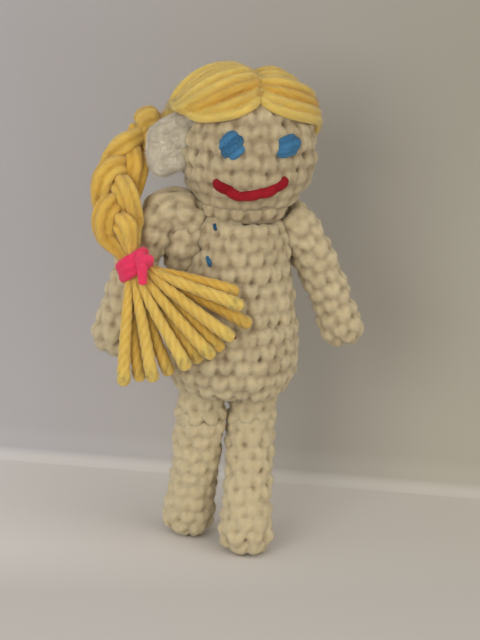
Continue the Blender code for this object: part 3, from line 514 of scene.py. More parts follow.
class Skin:
    """A round surface along a middle line: a place on it is a run along its side and a turn round it."""

    def __init__(self, rings, across, fine=10):
        rows = smooth([[*centre, *direction, radius] for centre, direction, radius in rings], fine)
        centre, axis = rows[:, :3], unit(rows[:, 3:6])
        radius = np.maximum(rows[:, 6], 0)
        first = unit(across - axis * (axis @ across)[:, None])
        second = np.cross(axis, first)
        ahead = (np.gradient(centre, axis=0) * axis).sum(1)
        widen = np.gradient(radius)
        rate = np.maximum(np.hypot(ahead, widen), 1e-9)
        step = np.hypot((np.diff(centre, axis=0) * axis[1:]).sum(1), np.diff(radius))
        self.run = np.concatenate([[0], np.cumsum(np.maximum(step, 1e-9))])
        self.length = self.run[-1]
        self.rows = np.column_stack([centre, axis, first, second, radius, ahead / rate, widen / rate])

    def at(self, run, turn):
        """Points and outward normals at runs and turns."""
        run = np.clip(np.asarray(run, float), 0, self.length)
        i = np.clip(np.searchsorted(self.run, run) - 1, 0, len(self.run) - 2)
        t = ((run - self.run[i]) / (self.run[i + 1] - self.run[i]))[..., None]
        row = self.rows[i] * (1 - t) + self.rows[i + 1] * t
        out = turned(row[..., 6:9], row[..., 9:12], turn)
        point = row[..., :3] + out * row[..., 12:13]
        normal = unit(out * row[..., 13:14] - row[..., 3:6] * row[..., 14:15])
        return point, normal

    def radius_at(self, run):
        return np.interp(run, self.run, self.rows[:, 12])


def dented(points, dents):
    """Points kept outside the balls of the limbs' roots."""
    points = points.copy()
    for centre, radius in dents:
        away = points - centre
        distance = np.linalg.norm(away, axis=-1, keepdims=True)
        points = np.where(distance < radius, centre + away / np.maximum(distance, 1e-9) * radius, points)
    return points


def plain_uv(points):
    rows, columns = points.shape[:2]
    across = np.linspace(0, 1, columns + 1)[None, :]
    return np.stack(np.broadcast_arrays(across, np.linspace(0, 1, rows)[:, None]), axis=-1)


def layer_under(skin, depth, dents, end, columns=32, lumps=0.0):
    """Rows of points at a depth under a skin, less deep where the skin is narrow."""
    count = max(8, int(skin.length / 0.0018))
    run = np.linspace(CLOSED_START, end, count)[:, None] * skin.length
    turn = (TAU * np.arange(columns) / columns)[None, :]
    run, turn = np.broadcast_arrays(run, turn)
    point, normal = skin.at(run, turn)
    inward = np.minimum(depth, 0.8 * np.maximum(skin.radius_at(run), 0.0004) + 0.35 * depth)
    lift = lumps * rng.normal(0, 1, run.shape) - inward
    return dented(point + normal * lift[..., None], dents)


def stitch_places(skin, end):
    """Turn, run, width and size of every stitch of a spiral over a skin, and the rows' height."""
    rows = max(1, round(skin.length * end / ROW_HEIGHT))
    height = skin.length * end / rows
    places = []
    turn = 0.0
    for row in range(rows):
        middle = float(skin.radius_at((row + 0.5) * height))
        count = max(FIRST_ROUND, round(TAU * middle / STITCH_WIDTH))
        step = TAU / count
        size = min(1.0, TAU * max(middle, 0.0012) / count / (0.8 * STITCH_WIDTH))
        for stitch in range(count):
            places.append((turn + step * 0.5, (row + stitch / count) * height, step, size))
            turn += step * (1 + SLANT_SHARE / count)
    return np.array(places).T[..., None], height


def crochet(skin, dents=(), floor=None, end=1.0):
    """One unbroken spiral of stitches over a skin, from its closed end, on a shell of the same yarn, with painted
    shade in its depths.
    """
    (turns, runs, widths, sizes), height = stitch_places(skin, end)
    wobble = rng.normal(0, 1, (6, len(turns), 1))
    across, up, depth, thick = (np.array(STITCH_SHARES)[None, :, k] for k in range(4))
    across = across * (1 + 0.09 * wobble[0]) + 0.10 * wobble[1] * (up - 0.4)
    point, normal = skin.at(runs + (up + 0.08 * wobble[2]) * height, turns + across * widths)
    lift = (depth - 1 + 0.18 * wobble[3]) * STITCH_DEPTH * sizes - YARN + STITCH_RISE
    radius = YARN * thick * (1 + 0.09 * wobble[4]) * (0.45 + 0.55 * sizes)
    # Painted shade: yarn deep in a stitch gets a lower tone than yarn on its top, besides a random tone for each
    # stitch
    tone = np.clip(0.40 + 0.30 * depth + 0.12 * wobble[5], 0, 1)
    path = (point + normal * lift[..., None]).reshape(-1, 3)
    fine = smooth(np.column_stack([path, normal.reshape(-1, 3), radius.ravel(), tone.ravel()]), 2)
    centre = dented(fine[:, :3], [(c, r + YARN) for c, r in dents])
    if floor is not None:
        centre[:, 2] = np.maximum(centre[:, 2], floor + fine[:, 6])
    yarns = YarnMesh()
    yarns.add_tube(centre, fine[:, 6], 8, fine[:, 7], outward=fine[:, 3:6], rough=0.06)
    under = layer_under(skin, SHELL_DEPTH, dents, end)
    if floor is not None:
        under[..., 2] = np.maximum(under[..., 2], floor + YARN)
    # Painted shade: the shell gets the lowest tone, so the gaps between the stitches show the darker colour
    yarns.add_grid(under, 0.0, close_ends=True)
    return yarns.felted(CREAM_CELL)


def limb_rings(root, end, shares, radii):
    """Rings from the round closed end of a limb to its round root."""
    stations = [root + (end - root) * vec(x, z, z) for x, z in shares]
    path = smooth(stations, 3)
    radius = np.interp(np.linspace(0, 1, len(path)), np.linspace(0, 1, len(radii)), radii)
    aims = unit(np.gradient(path, axis=0))

    def cap(i, way, angles):
        middle, aim, size = path[i], aims[i], radius[i]
        return [(middle + way * aim * size * cos(a), -aim, size * sin(a)) for a in angles]

    round_end, root_end = cap(-1, 1, np.linspace(0, TAU / 4, 6)[:-1]), cap(0, -1, np.linspace(TAU / 4, 0.35, 5)[1:])
    return [*round_end, *zip(path[::-1], -aims[::-1], radius[::-1]), *root_end]


def add_node(tree, kind, inputs=(), **settings):
    """A new node. Each of its inputs is a value or the output of another node."""
    made = tree.nodes.new("ShaderNode" + kind)
    for key, value in settings.items():
        setattr(made, key, value)
    for key, value in dict(inputs).items():
        if isinstance(value, bpy.types.NodeSocket):
            tree.links.new(value, made.inputs[key])
        else:
            made.inputs[key].default_value = value
    return made


def plain_material(name, values):
    """A new material, its tree and its shader, with these inputs."""
    made = bpy.data.materials.new(name)
    made.use_nodes = True
    shader = made.node_tree.nodes["Principled BSDF"]
    for key, value in values.items():
        shader.inputs[key].default_value = value
    return made, made.node_tree, shader


def new_material(name, colour, shade, ply=0.0, speckle=2400.0, sheen=0.2, bump=0.45, soft=0.5):
    """Yarn or felt: fine fibres, a twist that follows the yarn, and a tone that varies along it and mixes in painted
    shade.
    """
    made, tree, shader = plain_material(name, {
        "Roughness": 0.9,
        "Specular IOR Level": 0.12,
        "Sheen Weight": sheen,
        "Sheen Roughness": 0.5,
        "Sheen Tint": (1, 0.96, 0.88, 1),
        "Subsurface Weight": soft,
        "Subsurface Radius": (1, 0.88, 0.75),
        "Subsurface Scale": 0.0022,
    })
    place = add_node(tree, "TexCoord").outputs["Object"]

    def calculated(kind, *values):
        return add_node(tree, "Math", enumerate(values), operation=kind).outputs[0]

    def noise(scale, detail):
        return add_node(tree, "TexNoise", {"Scale": scale, "Detail": detail, "Vector": place}).outputs["Fac"]

    tone = add_node(tree, "Attribute", attribute_name="tone").outputs["Fac"]
    speckles = noise(speckle, 3)
    mixed = calculated("MULTIPLY_ADD", tone, 0.75, -0.15)
    mixed = calculated("MULTIPLY_ADD", speckles, 0.30, mixed)
    mixed = calculated("MULTIPLY_ADD", noise(speckle * 0.1, 2), 0.30, mixed)
    height = calculated("MULTIPLY", speckles, 0.6)
    # Painted shade: the grooves between the plies are painted darker and their crests lighter, besides the bumps
    if ply:
        twist = add_node(tree, "UVMap", uv_map="twist").outputs["UV"]
        parts = add_node(tree, "SeparateXYZ", {"Vector": twist}).outputs
        phase = calculated("MULTIPLY", calculated("SUBTRACT", parts["X"], parts["Y"]), PLIES * TAU)
        wave = calculated("SINE", phase)
        mixed = calculated("MULTIPLY_ADD", wave, 0.14 * ply, mixed)
        height = calculated("MULTIPLY_ADD", wave, 0.4 * ply, height)
    # Painted shade: the tone mixes the yarn's own colour with its darker one, which is painted in as shade
    ends = {"A": (*shade, 1), "B": (*colour, 1), "Factor": mixed}
    blend = add_node(tree, "Mix", ends, data_type="RGBA").outputs["Result"]
    tree.links.new(blend, shader.inputs["Base Color"])
    bumps = add_node(tree, "Bump", {"Strength": bump, "Distance": 0.00025, "Height": height})
    tree.links.new(bumps.outputs["Normal"], shader.inputs["Normal"])
    made.diffuse_color = (*colour, 1)
    return made


cream = new_material("cream_wool", *CREAM, speckle=1600)
gold = new_material("gold_wool", *GOLD, ply=1.0)
pink = new_material("pink_wool", *PINK, ply=0.6, sheen=0.12)
blue = new_material("blue_wool", *BLUE, ply=0.8, sheen=0.08, soft=0.1)
red = new_material("red_wool", *RED, ply=0.8, sheen=0.05, soft=0.1)
felt = new_material("white_felt", *FELT, speckle=1500, sheen=0.3, bump=0.15)
filling = new_material("stuffing_fibre", *FILLING, speckle=1400, sheen=0.3)


def dress(yarns, name, material, body, slot, *nodes, fuzz=0, fuzz_length=FUZZ_LENGTH, wisps=0, painted_light_shift=0.0):
    """The finished piece, riding on its body and standing for its nodes."""
    if fuzz:
        yarns.add_fuzz(fuzz, fuzz_length)
    if wisps:
        yarns.add_fuzz(wisps, 1.6 * fuzz_length, lift=1.1, thickness=1.2 * FIBRE)
    piece = yarns.made(name, material, painted_light_shift)
    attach(piece, body)
    if nodes:
        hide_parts(*nodes)
    return piece


def dress_cream(yarns, name, body, node, painted_light_shift=0.0):
    dress(yarns, name, cream, body, "cream_yarn", node, **CREAM_FUZZ, painted_light_shift=painted_light_shift)


def dress_gold(yarns, name, body, node, painted_light_shift=0.0):
    yarns.add_fuzz(**GOLD_BRUSHED)
    dress(yarns, name, gold, body, "gold_yarn", node, **GOLD_FUZZ, painted_light_shift=painted_light_shift)


def stuff(name, skin, body, node, end=1.0, dents=(), floor=None):
    """The stuffing inside a cover."""
    inside = YarnMesh()
    points = layer_under(skin, FILLING_DEPTH, [(c, r + 0.001) for c, r in dents], end, 28, FILLING_LUMPS)
    if floor is not None:
        points[..., 2] = np.maximum(points[..., 2], floor + 2 * YARN)
    inside.add_grid(points, 0.6, close_ends=True)
    dress(inside, name, filling, body, "stuffing", node)


# Places read from the frame
def joint_place(name):
    return vec(*joints[name]["pos_m"])


neck_place = joint_place("head_turn")
plait_root = joint_place("plait_swing")
fringe_root = joint_place("fringe_swing")
stand = neck_place * vec(1, 1, 0)
head_low, head_high = (vec(*corner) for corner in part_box("head_cover"))
head_radius = (head_high[0] - head_low[0]) / 2
head_centre = vec(*neck_place[:2], head_high[2] - head_radius)
body_low, body_high = (vec(*corner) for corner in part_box("body_cover"))
body_radius = (body_high[0] - body_low[0]) / 2
body_height = body_high[2] - body_low[2]

# Torso
torso_rings = [(stand + UP * (body_low[2] + z * body_height), UP, x * body_radius) for x, z in BODY_SHARES]
torso = Skin(torso_rings, vec(0, 1, 0))
balls = [(name, ARM_BALL_SHARE * ARM_RADIUS) for name, *_ in ARMS] + [(name, LEG_RADIUS) for name, *_ in LEGS]
torso_dents = [(joint_place(name + "_swing"), radius) for name, radius in balls]
dress_cream(crochet(torso, torso_dents), "body_crochet", "torso", "body_cover", BODY_PAINTED_SHADE)
stuff("body_filling", torso, "torso", "body_stuffing", 0.94, torso_dents)

# Head, worked from the crown down to the neck
head_angles = np.linspace(0, HEAD_MOUTH_ANGLE, 14)
head_heights = [cos(a) * (1 if a < TAU / 4 else CHIN_DROP) for a in head_angles]
head_rings = [
    (head_centre + UP * head_radius * z, -UP, head_radius * sin(a)) for z, a in zip(head_heights, head_angles)
]
skull = Skin(head_rings, vec(0, 1, 0))
dress_cream(crochet(skull), "head_crochet", "head", "head_cover", HEAD_PAINTED_SHADE)
stuff("head_filling", skull, "head", "head_stuffing", 0.97)


# Limbs
def limb(name, root, end, shares, radii, stitched, painted_light_shift, floor=None):
    """An arm or a leg: crochet from its closed end to its root, and its stuffing."""
    skin = Skin(limb_rings(root, end, shares, radii), vec(0.2, -1, 0.1) if floor is None else vec(1, 0.2, 0))
    dress_cream(crochet(skin, floor=floor, end=stitched), name + "_crochet", name, name + "_cover", painted_light_shift)
    stuff(name + "_filling", skin, name, name + "_stuffing", stitched - 0.06, floor=floor)


def collar(name, place, axis, radii, painted_light_shift):
    """A round of crochet that joins a limb or the head to the body."""
    axis = unit(axis)
    body = name.replace("arm", "shoulder").replace("leg", "hip")
    skin = Skin([(place + axis * along, axis, radius) for along, radius in radii], vec(0.2, 0.9, 0.3))
    dress_cream(crochet(skin), name + "_sewing", body, name + "_seam", painted_light_shift)


for name, side, shares, radius_shares, collar_aim, collar_radii, hand_shift in ARMS:
    root = joint_place(name + "_swing")
    low, high = (vec(*corner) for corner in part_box(name + "_cover"))
    hand_x = high[0] - HAND_RADIUS if side > 0 else low[0] + HAND_RADIUS
    hand = vec(hand_x, root[1], low[2] + HAND_RADIUS) + vec(*hand_shift)
    limb(name, root, hand, shares, [*(ARM_RADIUS * s for s in radius_shares), HAND_RADIUS], ARM_STITCHED, ARM_PAINTED_SHADE)
    # Painted shade: each shoulder's collar is painted darker than its arm
    collar(name, root, vec(*collar_aim), collar_radii, ARM_PAINTED_SHADE - 0.1)
for name, toe_shift, tone in LEGS:
    root = joint_place(name + "_swing")
    low, high = (vec(*corner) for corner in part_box(name + "_cover"))
    foot_radius = (high[0] - low[0]) / 2
    toe_y = low[1] + foot_radius if root[1] - low[1] > high[1] - root[1] else high[1] - foot_radius
    toe = vec(root[0] + toe_shift, toe_y, foot_radius - 0.0005)
    leg_radii = [*(LEG_RADIUS * s for s in LEG_RADIUS_SHARES), foot_radius]
    limb(name, root, toe, LEG_SHARES, leg_radii, LEG_STITCHED, tone, floor=0.0)
    collar(name, root, UP, LEG_COLLAR, tone)
collar("neck", neck_place, UP, NECK_COLLAR, HEAD_PAINTED_SHADE)


# Face
def on_head(turn_degrees, rise_degrees, distance):
    """Points at a distance from the head's middle."""
    turn, rise = np.radians(turn_degrees), np.radians(rise_degrees)
    return head_centre + aimed(turn, np.cos(rise), np.sin(rise)) * np.asarray(distance)[..., None]


def eye(name, turn, rise, half_long, half_wide, slant):
    """An oval of satin stitches: strands side by side over the head's stitches."""
    centre = on_head(turn, rise, head_radius)
    out = unit(centre - head_centre)
    level = unit(np.cross(UP, out))
    lengthwise = cos(slant) * level + sin(slant) * np.cross(out, level)
    across = np.cross(out, lengthwise)
    yarns = YarnMesh()
    t = np.linspace(-1, 1, 11)
    for offset, lift in EYE_STRANDS:
        chord = half_long * sqrt(1 - 0.8 * offset * offset) - 0.0004
        height = lift * (1 - t**4) - 0.0010 * t**4
        shift = 0.00015 * rng.normal(size=2)
        path = centre + lengthwise * (t * chord + shift[0])[:, None] + out * height[:, None]
        path = path + across * (offset * half_wide + shift[1] + 0.0003 * t)[:, None]
        yarns.add_tube(path, EYE_YARN * (1 - 0.25 * t**2), 10, rng.uniform(0.1, 1), 3, outward=out, rough=0.06)
    yarns.felted(FINE_CELL)
    dress(yarns, name + "_stitches", blue, "head", "blue_yarn", name, **FACE_FUZZ)


eye("eye_right", -26.4, 10.6, 0.0036, 0.0029, radians(42))
eye("eye_left", 25.2, 12.6, 0.0039, 0.0022, radians(8))

mouth_yarn = YarnMesh()
mouth_line = smooth(MOUTH_PLACES, 8)
places = np.arange(len(mouth_line))
marks = np.linspace(0, len(mouth_line) - 1, MOUTH_STITCHES + 1)
for i in range(MOUTH_STITCHES):
    t = np.linspace(-1, 1, 11)
    at = np.interp(t, (-1, 1), (marks[i] - 0.9, marks[i + 1] + 0.9)).clip(0, len(mouth_line) - 1)
    turn = np.interp(at, places, mouth_line[:, 0])
    rise = np.interp(at, places, mouth_line[:, 1]) + rng.uniform(-0.9, 0.9) + 1.0 * t * rng.choice([-1, 1])
    path = on_head(turn, rise, head_radius + 0.0009 - 0.0012 * np.abs(t) ** 5)
    thick = rng.uniform(0.00140, 0.00165) * (1 - 0.15 * t**2)
    mouth_yarn.add_tube(path, thick, 12, rng.uniform(0.2, 1), 3, outward=path - head_centre, rough=0.05)
mouth_yarn.felted(FINE_CELL)
dress(mouth_yarn, "mouth_stitches", red, "head", "red_yarn", "mouth", **FACE_FUZZ)


# Hair
def hair_thickness(aim):
    """How far the hair stands off the head in these directions."""
    thickness = HAIR_THICKNESS
    for middle, height, spread in HAIR_BULGES:
        near = np.arccos(np.clip(aim @ unit(vec(*middle)), -1, 1)) / radians(spread)
        thickness = thickness + height * np.maximum(1 - near * near, 0)
    from_parting = np.minimum(np.abs(aim[..., 0]) * head_radius / PARTING_BLEND, 1)
    over_top = np.clip((aim[..., 2] + 0.25) / 0.4, 0, 1)
    return thickness * (1 - 0.5 * (1 - from_parting) ** 1.5 * over_top)


def aims_along(route, count):
    """Directions from the head's middle along a route of (turn, angle from straight up)."""
    turn, angle = np.radians(np.array(route, float)).T
    return unit(resampled(smooth(aimed(turn, np.sin(angle), np.cos(angle)), 12), count))


def lay_hair(yarns, front_route, back_route, side):
    """Yarns side by side over the head, from the parting to the gathered bunch."""
    front, back = aims_along(front_route, 60), aims_along(back_route, 60)
    share = np.linspace(0, 1, 60)
    for i in range(HAIR_YARNS):
        k = i / (HAIR_YARNS - 1)
        aims = between(front, back, k)
        aims[:, 0] -= side * 0.02 * np.clip(1 - share / 0.05, 0, 1)
        aims = unit(aims)
        lift = hair_thickness(aims) - 0.95 * HAIR_YARN + 0.00028 * rng.normal()
        lift = lift + 0.0003 * np.sin(share * 5 + rng.uniform(0, TAU)) * np.sin(share * pi)
        lift = lift + (FRONT_LIFT if i < FRONT_YARNS else 0) * np.clip(share / 0.1, 0, 1)
        points = head_centre + aims * (head_radius + lift)[:, None]
        arrive = np.clip((share - 0.82) / 0.18, 0, 1)[:, None] ** 1.3
        goal = plait_root + unit(points - plait_root) * 0.0024
        points = points * (1 - arrive) + goal * arrive
        radius = HAIR_YARN * rng.uniform(0.95, 1.12) * (1 - 0.3 * arrive[:, 0])
        rows = spaced(np.column_stack([points, radius]), RING_SPACE)
        outward = rows[:, :3] - head_centre
        # Painted shade: the yarn just behind the front ones gets a low tone, in the groove there; the others a
        # random one
        tone = (0.15 if i == FRONT_YARNS else rng.uniform(0.35, 0.95)) * np.ones(len(rows))
        yarns.add_tube(rows[:, :3], rows[:, 3], 12, tone, outward=outward)


def lay_hair_base(yarns, side, edges):
    """The hair's under layer, down to the hairline."""
    turn = np.radians(np.linspace(0, 180, 25))
    edge = np.radians(np.interp(np.degrees(turn), *zip(*edges)))
    angle = np.linspace(0.02, 1, 16)[:, None] * edge[None, :]
    aim = aimed(turn, np.sin(angle), np.cos(angle)) * vec(side, 1, 1)
    outer = head_radius + np.maximum(hair_thickness(aim) - 1.25 * HAIR_YARN, 0.0006)
    points = np.concatenate([aim * outer[..., None], aim[::-1] * (head_radius + 0.0002)])
    points[..., 0] = side * np.maximum(side * points[..., 0], 0.0003)
    middle = (points + points[::-1]) / 2
    points = np.concatenate([middle[:, :1], points, middle[:, -1:]], axis=1)
    middle = (points + points[::-1]) / 2
    points = np.concatenate([middle[:1], points, middle[-1:]])
    if side > 0:
        points = points[:, ::-1]
    yarns.add_grid(head_centre + points, 0.45, wrap=False)


for name, side, front_route, back_route, edges in HAIR_HALVES:
    half = YarnMesh()
    lay_hair(half, front_route, back_route, side)
    lay_hair_base(half, side, edges)
    half.felted(GOLD_CELL)
    dress_gold(half, name + "_yarns", "head", name)

parting_yarn = YarnMesh()
for angle in np.radians(np.arange(-33, 60, 8)):
    aims = [vec(x, sin(angle + x), cos(angle + x)) for x in (-0.045, 0, 0.045)]
    path = smooth([head_centre + unit(aim) * (head_radius + 0.0018 - 0.2 * aim[0] ** 2) for aim in aims], 5)
    parting_yarn.add_tube(path, PARTING_YARN, 8, 0.1, 2, outward=path - head_centre)
dress_gold(parting_yarn, "hair_parting_stitches", "head", "hair_parting_seam")


# Plait
def beside_head(shares):
    return head_centre + vec(*shares) * vec(head_radius, body_radius, head_radius)


plait_tie = beside_head(PLAIT_TIE_SHARES)
tie_aim = unit(vec(*TIE_AIM))
plait_front = unit(vec(-0.25, -1, 0))
route = [beside_head(shares) for shares in PLAIT_SHARES]
plait_down = unit(route[0] - plait_root)
spine = spaced(smooth([plait_root + plait_down * 0.0030, *route, plait_tie, fringe_root], 12), 0.0006)
spine_aim = unit(np.gradient(spine, axis=0))
spine_side = unit(np.cross(spine_aim, plait_front))
spine_front = np.cross(spine_side, spine_aim)
spine_share = np.linspace(0, 1, len(spine))
tie_share = float(spine_share[np.argmin(np.linalg.norm(spine - plait_tie, axis=1))])

gather = YarnMesh()
into_head = unit(head_centre - plait_root)
level = unit(np.cross(into_head, plait_down))
turned_in = unit(np.cross(level, unit(plait_down - into_head)))
for swing in TAU * np.arange(GATHER_YARNS) / GATHER_YARNS:
    spread = turned(turned_in, level, swing)
    points = [
        plait_root + into_head * 0.0032 + spread * 0.0008,
        plait_root + unit(into_head * 0.6 + spread) * 0.0031,
        plait_root + unit(plait_down * 0.6 + spread) * 0.0032,
        plait_root + plait_down * 0.0036 + spread * 0.0014,
    ]
    rows = spaced(smooth(points, 8), RING_SPACE)
    tone = rng.uniform(0.1, 0.9)
    gather.add_tube(rows, GATHER_YARN, 12, tone, PLIES, outward=rows - plait_root, turn=rng.uniform(0, TAU))
gather.felted(GOLD_CELL)
dress_gold(gather, "hair_gather_yarns", "plait_root", "hair_gather", PLAIT_PAINTED_SHADE)

tied_places = (0, tie_share - 0.20, tie_share - 0.05, 1)
thick_places = (0, 0.15, *tied_places[1:])
tied = np.interp(spine_share, tied_places, (0, 0, 1, 1))
swell = np.interp(spine_share, (0, 0.2, 0.32, 1), (0.6, 0.92, 1, 1))
wide = (PLAIT_HALF_WIDTH * (1 - tied) + 0.0017 * tied) * swell
deep = (PLAIT_HALF_DEPTH * (1 - tied) + 0.0016 * tied) * swell
bundle = np.interp(spine_share, thick_places, (0.0011, 0.0019, 0.0019, 0.0010, 0.0008))
radius = np.interp(spine_share, thick_places, (0.0010, 0.0014, 0.0014, 0.00085, 0.0007))
for strand in range(3):
    turn = (np.minimum(spine_share, PLAIT_TURNED) - PLAIT_TURNED) * PLAIT_TURNS * TAU + TAU / 4 + strand * TAU / 3
    core = spine + spine_side * (wide * np.sin(turn))[:, None] + spine_front * (deep * np.sin(2 * turn))[:, None]
    core_aim = unit(np.gradient(core, axis=0))
    core_side = transported(core_aim, unit(np.cross(core_aim[0], vec(0.2, 0.3, 0.9))))
    core_other = np.cross(core_aim, core_side)
    yarns = YarnMesh()
    for i in range(PLAIT_YARNS):
        around = TAU * i / (PLAIT_YARNS - 1) + spine_share * 1.6 + 0.2 * rng.normal()
        reach = bundle * (0 if i == PLAIT_YARNS - 1 else 1)
        path = core + turned(core_side, core_other, around) * reach[:, None]
        rows = spaced(np.column_stack([path, radius]), RING_SPACE)
        tone = rng.uniform(0.25, 1)
        yarns.add_tube(rows[:, :3], rows[:, 3], 12, tone, PLIES, 0.12, turn=rng.uniform(0, TAU))
    yarns.felted(GOLD_CELL)
    dress_gold(yarns, f"plait_yarns_{strand + 1}", "plait", f"plait_strand_{strand + 1}", PLAIT_PAINTED_SHADE)

# Tie
tie_left = unit(vec(1, 0, 0) - tie_aim * tie_aim[0])
tie_front = np.cross(tie_aim, tie_left)
tie_place = plait_tie + tie_aim * TIE_DROP
wrap = YarnMesh()
turn = np.linspace(0, TAU * TIE_TURNS, 90)
along = np.linspace(-0.5, 0.5, 90) * TIE_WIDTH
reach = TIE_REACH + 0.0003 * np.sin(turn * 1.7)
path = tie_place + tie_aim * along[:, None] + reach[:, None] * turned(tie_left, tie_front, turn)
wrap.add_tube(path, TIE_YARN, 12, 0.5, PLIES, outward=path - plait_tie, rough=0.05)
wrap.felted(FINE_CELL, TIE_SOFTENING)
dress(wrap, "hair_tie_wrap", pink, "plait", "pink_yarn", "hair_tie", **TIE_FUZZ)
knot = YarnMesh()
knot_out = unit(tie_front + 0.25 * tie_left)
knot_place = tie_place + knot_out * KNOT_REACH
for aim, length in KNOT_ENDS:
    aim = unit(aim) * length
    path = smooth([knot_place - aim * 0.2, knot_place + aim * 0.3 + knot_out * 0.0005, knot_place + aim], 8)
    knot.add_tube(path, np.linspace(0.0017, 0.0013, len(path)), 12, 0.8, PLIES, outward=knot_out, rough=0.05)
knot.felted(FINE_CELL, TIE_SOFTENING)
dress(knot, "hair_tie_ends", pink, "plait", "pink_yarn", "hair_tie_knot", **KNOT_FUZZ)

# Fringe
fringe_side = vec(cos(FRINGE_SIDE_TURN), -sin(FRINGE_SIDE_TURN), 0)
fringe_down = vec(0, -sin(FRINGE_FORWARD_LEAN), -cos(FRINGE_FORWARD_LEAN))
fringe_front = unit(np.cross(fringe_side, -fringe_down))
share = np.linspace(0, 1, 40)
for i, (degrees, length_share) in enumerate(BACK_FRINGE_SHARES + FRONT_FRINGE_SHARES):
    layer, order = divmod(i, len(BACK_FRINGE_SHARES))
    angle = radians(degrees)
    aim = turned(fringe_down, fringe_side, angle)
    run = share * FRINGE_LENGTH * length_share
    spread = np.minimum(run / FRINGE_SPREAD, 1)
    forward = FRINGE_LAYER_AT_TIE + (FRINGE_LAYER - FRINGE_LAYER_AT_TIE) * spread
    forward = layer * forward + 0.0004 * rng.normal() * share
    curl = 0.0007 * np.sin(share * 3 + rng.uniform(0, TAU)) * share
    start = fringe_root + tie_left * (order - 2.5) * FRINGE_STEP_AT_TIE
    path = start + aim * run[:, None] - UP * (FRINGE_SAG * share**2)[:, None]
    path = path + fringe_front * forward[:, None] + np.cross(aim, fringe_front) * curl[:, None]
    radius = 0.0009 + 0.0006 * spread + 0.0004 * share**2
    # Painted shade and light: the back layer is painted darker than the front, and each yarn lighter towards its
    # tip, besides a random tone
    tone = np.clip((0.15, 0.55)[layer] + rng.uniform(-0.1, 0.2) + 0.35 * share**2, 0, 1)
    yarns = YarnMesh()
    yarns.add_tube(path, radius, 14, tone, PLIES, 0.16, turn=rng.uniform(0, TAU))
    tips = [tuple(part if part is None else part[-FRINGE_TIP_RINGS:] for part in yarns.strands[0])]
    yarns.add_fuzz(**FRINGE_TIP_FUZZ, strands=tips)
    dress_gold(yarns, f"fringe_yarn_{i + 1:02d}", "fringe", f"fringe_{i + 1:02d}")

# Ear of soft felt, cupped forwards
ear_base = head_centre + vec(-head_radius + 0.001, -0.0022, 0.0006)
angles = TAU * np.arange(EAR_SIDES) / EAR_SIDES
loops = []
for reach, top, bottom in smooth(EAR_OUTLINE_SHARES, 4):
    rise = EAR_HALF_HEIGHT * ((top + bottom) / 2 + (top - bottom) / 2 * np.cos(angles))
    curl = EAR_CURL * ((rise / EAR_HALF_HEIGHT) ** 2 + max(reach, 0) ** 2)
    edge = sqrt(np.clip((1.06 - reach) / 0.35, 0.02, 1))
    depth = EAR_HALF_THICKNESS * edge * np.sign(np.sin(angles)) * np.abs(np.sin(angles)) ** 0.7
    across = np.full(EAR_SIDES, ear_base[0] - EAR_REACH * reach)
    loops.append(np.stack([across, ear_base[1] - curl - depth, ear_base[2] + rise], axis=-1))
loops = np.array(loops)
lump = np.sin(loops @ vec(900, 0, 700)) + np.sin(loops @ vec(-600, 0, 1100) + 2)
loops[..., 1] += EAR_LUMPS * lump * np.linspace(1, 0.5, len(loops))[:, None]
ear = YarnMesh()
# Painted light and shade: the felt is painted darker at the ear's root by the head and lighter towards its outer
# edge
ear.add_grid(loops, 0.55 + 0.3 * np.linspace(-1, 1, len(loops))[:, None], close_ends=True)
for row in loops[3:-1]:
    outward = unit(row - row.mean(axis=0) + vec(0, -0.002, 0))
    radius, tone = np.full(EAR_SIDES, 0.0002), np.full(EAR_SIDES, 0.6)
    ear.strands.append((row, unit(np.gradient(row, axis=0)), radius, outward, tone))
dress(ear, "ear_right_felt", felt, "head", "white_felt", "ear_right", **FELT_FUZZ)

# Bits of yarn caught in the stitches of the body, as (turn, share of the height, yarn, slot, radius, tone)
LINT = (
    (-46, 0.79, blue, "blue_yarn", 0.0007, 0.4),
    (-47, 0.965, blue, "blue_yarn", 0.0005, 0.0),
    (-16, 0.535, red, "red_yarn", 0.0004, 0.0),
    (-10, 0.43, red, "red_yarn", 0.0004, 0.1),
)
for i, (turn, share, material, slot, size, tone) in enumerate(LINT):
    radius = np.interp(share, [z for _, z in BODY_SHARES], [x for x, _ in BODY_SHARES]) * body_radius
    aim = aimed(radians(turn), 1, 0)
    spot = stand + aim * (radius + 0.0007) + UP * (body_low[2] + share * body_height)
    start = spot - UP * 1.2 * size - aim * 0.0006
    end = UP * 1.3 * size + np.cross(aim, UP) * size - aim * 0.0004
    speck = YarnMesh()
    speck.add_tube(smooth([start, spot, spot + end], 4), size, 8, tone, 2, outward=aim)
    dress(speck, f"lint_{i + 1}", material, "torso", slot, **LINT_FUZZ)

# Stage
def stage_piece(name, profile):
    """A sheet that follows a profile of (distance behind the doll, height), and its plain material."""
    material, tree, shader = plain_material(name, {"Roughness": 0.95, "Specular IOR Level": 0.1})
    across = Vector((cos(CAMERA_AZIMUTH), sin(CAMERA_AZIMUTH), 0))
    away = Vector((-sin(CAMERA_AZIMUTH), cos(CAMERA_AZIMUTH), 0))
    ends = (-STAGE_HALF_WIDTH, STAGE_HALF_WIDTH)
    points = [Vector(stand) + across * x + away * y + Vector((0, 0, z)) for y, z in profile for x in ends]
    mesh = bpy.data.meshes.new(name)
    mesh.from_pydata(points, [], [(2 * i, 2 * i + 1, 2 * i + 3, 2 * i + 2) for i in range(len(profile) - 1)])
    mesh.shade_smooth()
    mesh.materials.append(material)
    obj = linked(name, mesh)
    place = add_node(tree, "TexCoord").outputs["Object"]
    return tree, shader, add_node(tree, "SeparateXYZ", {"Vector": place}).outputs


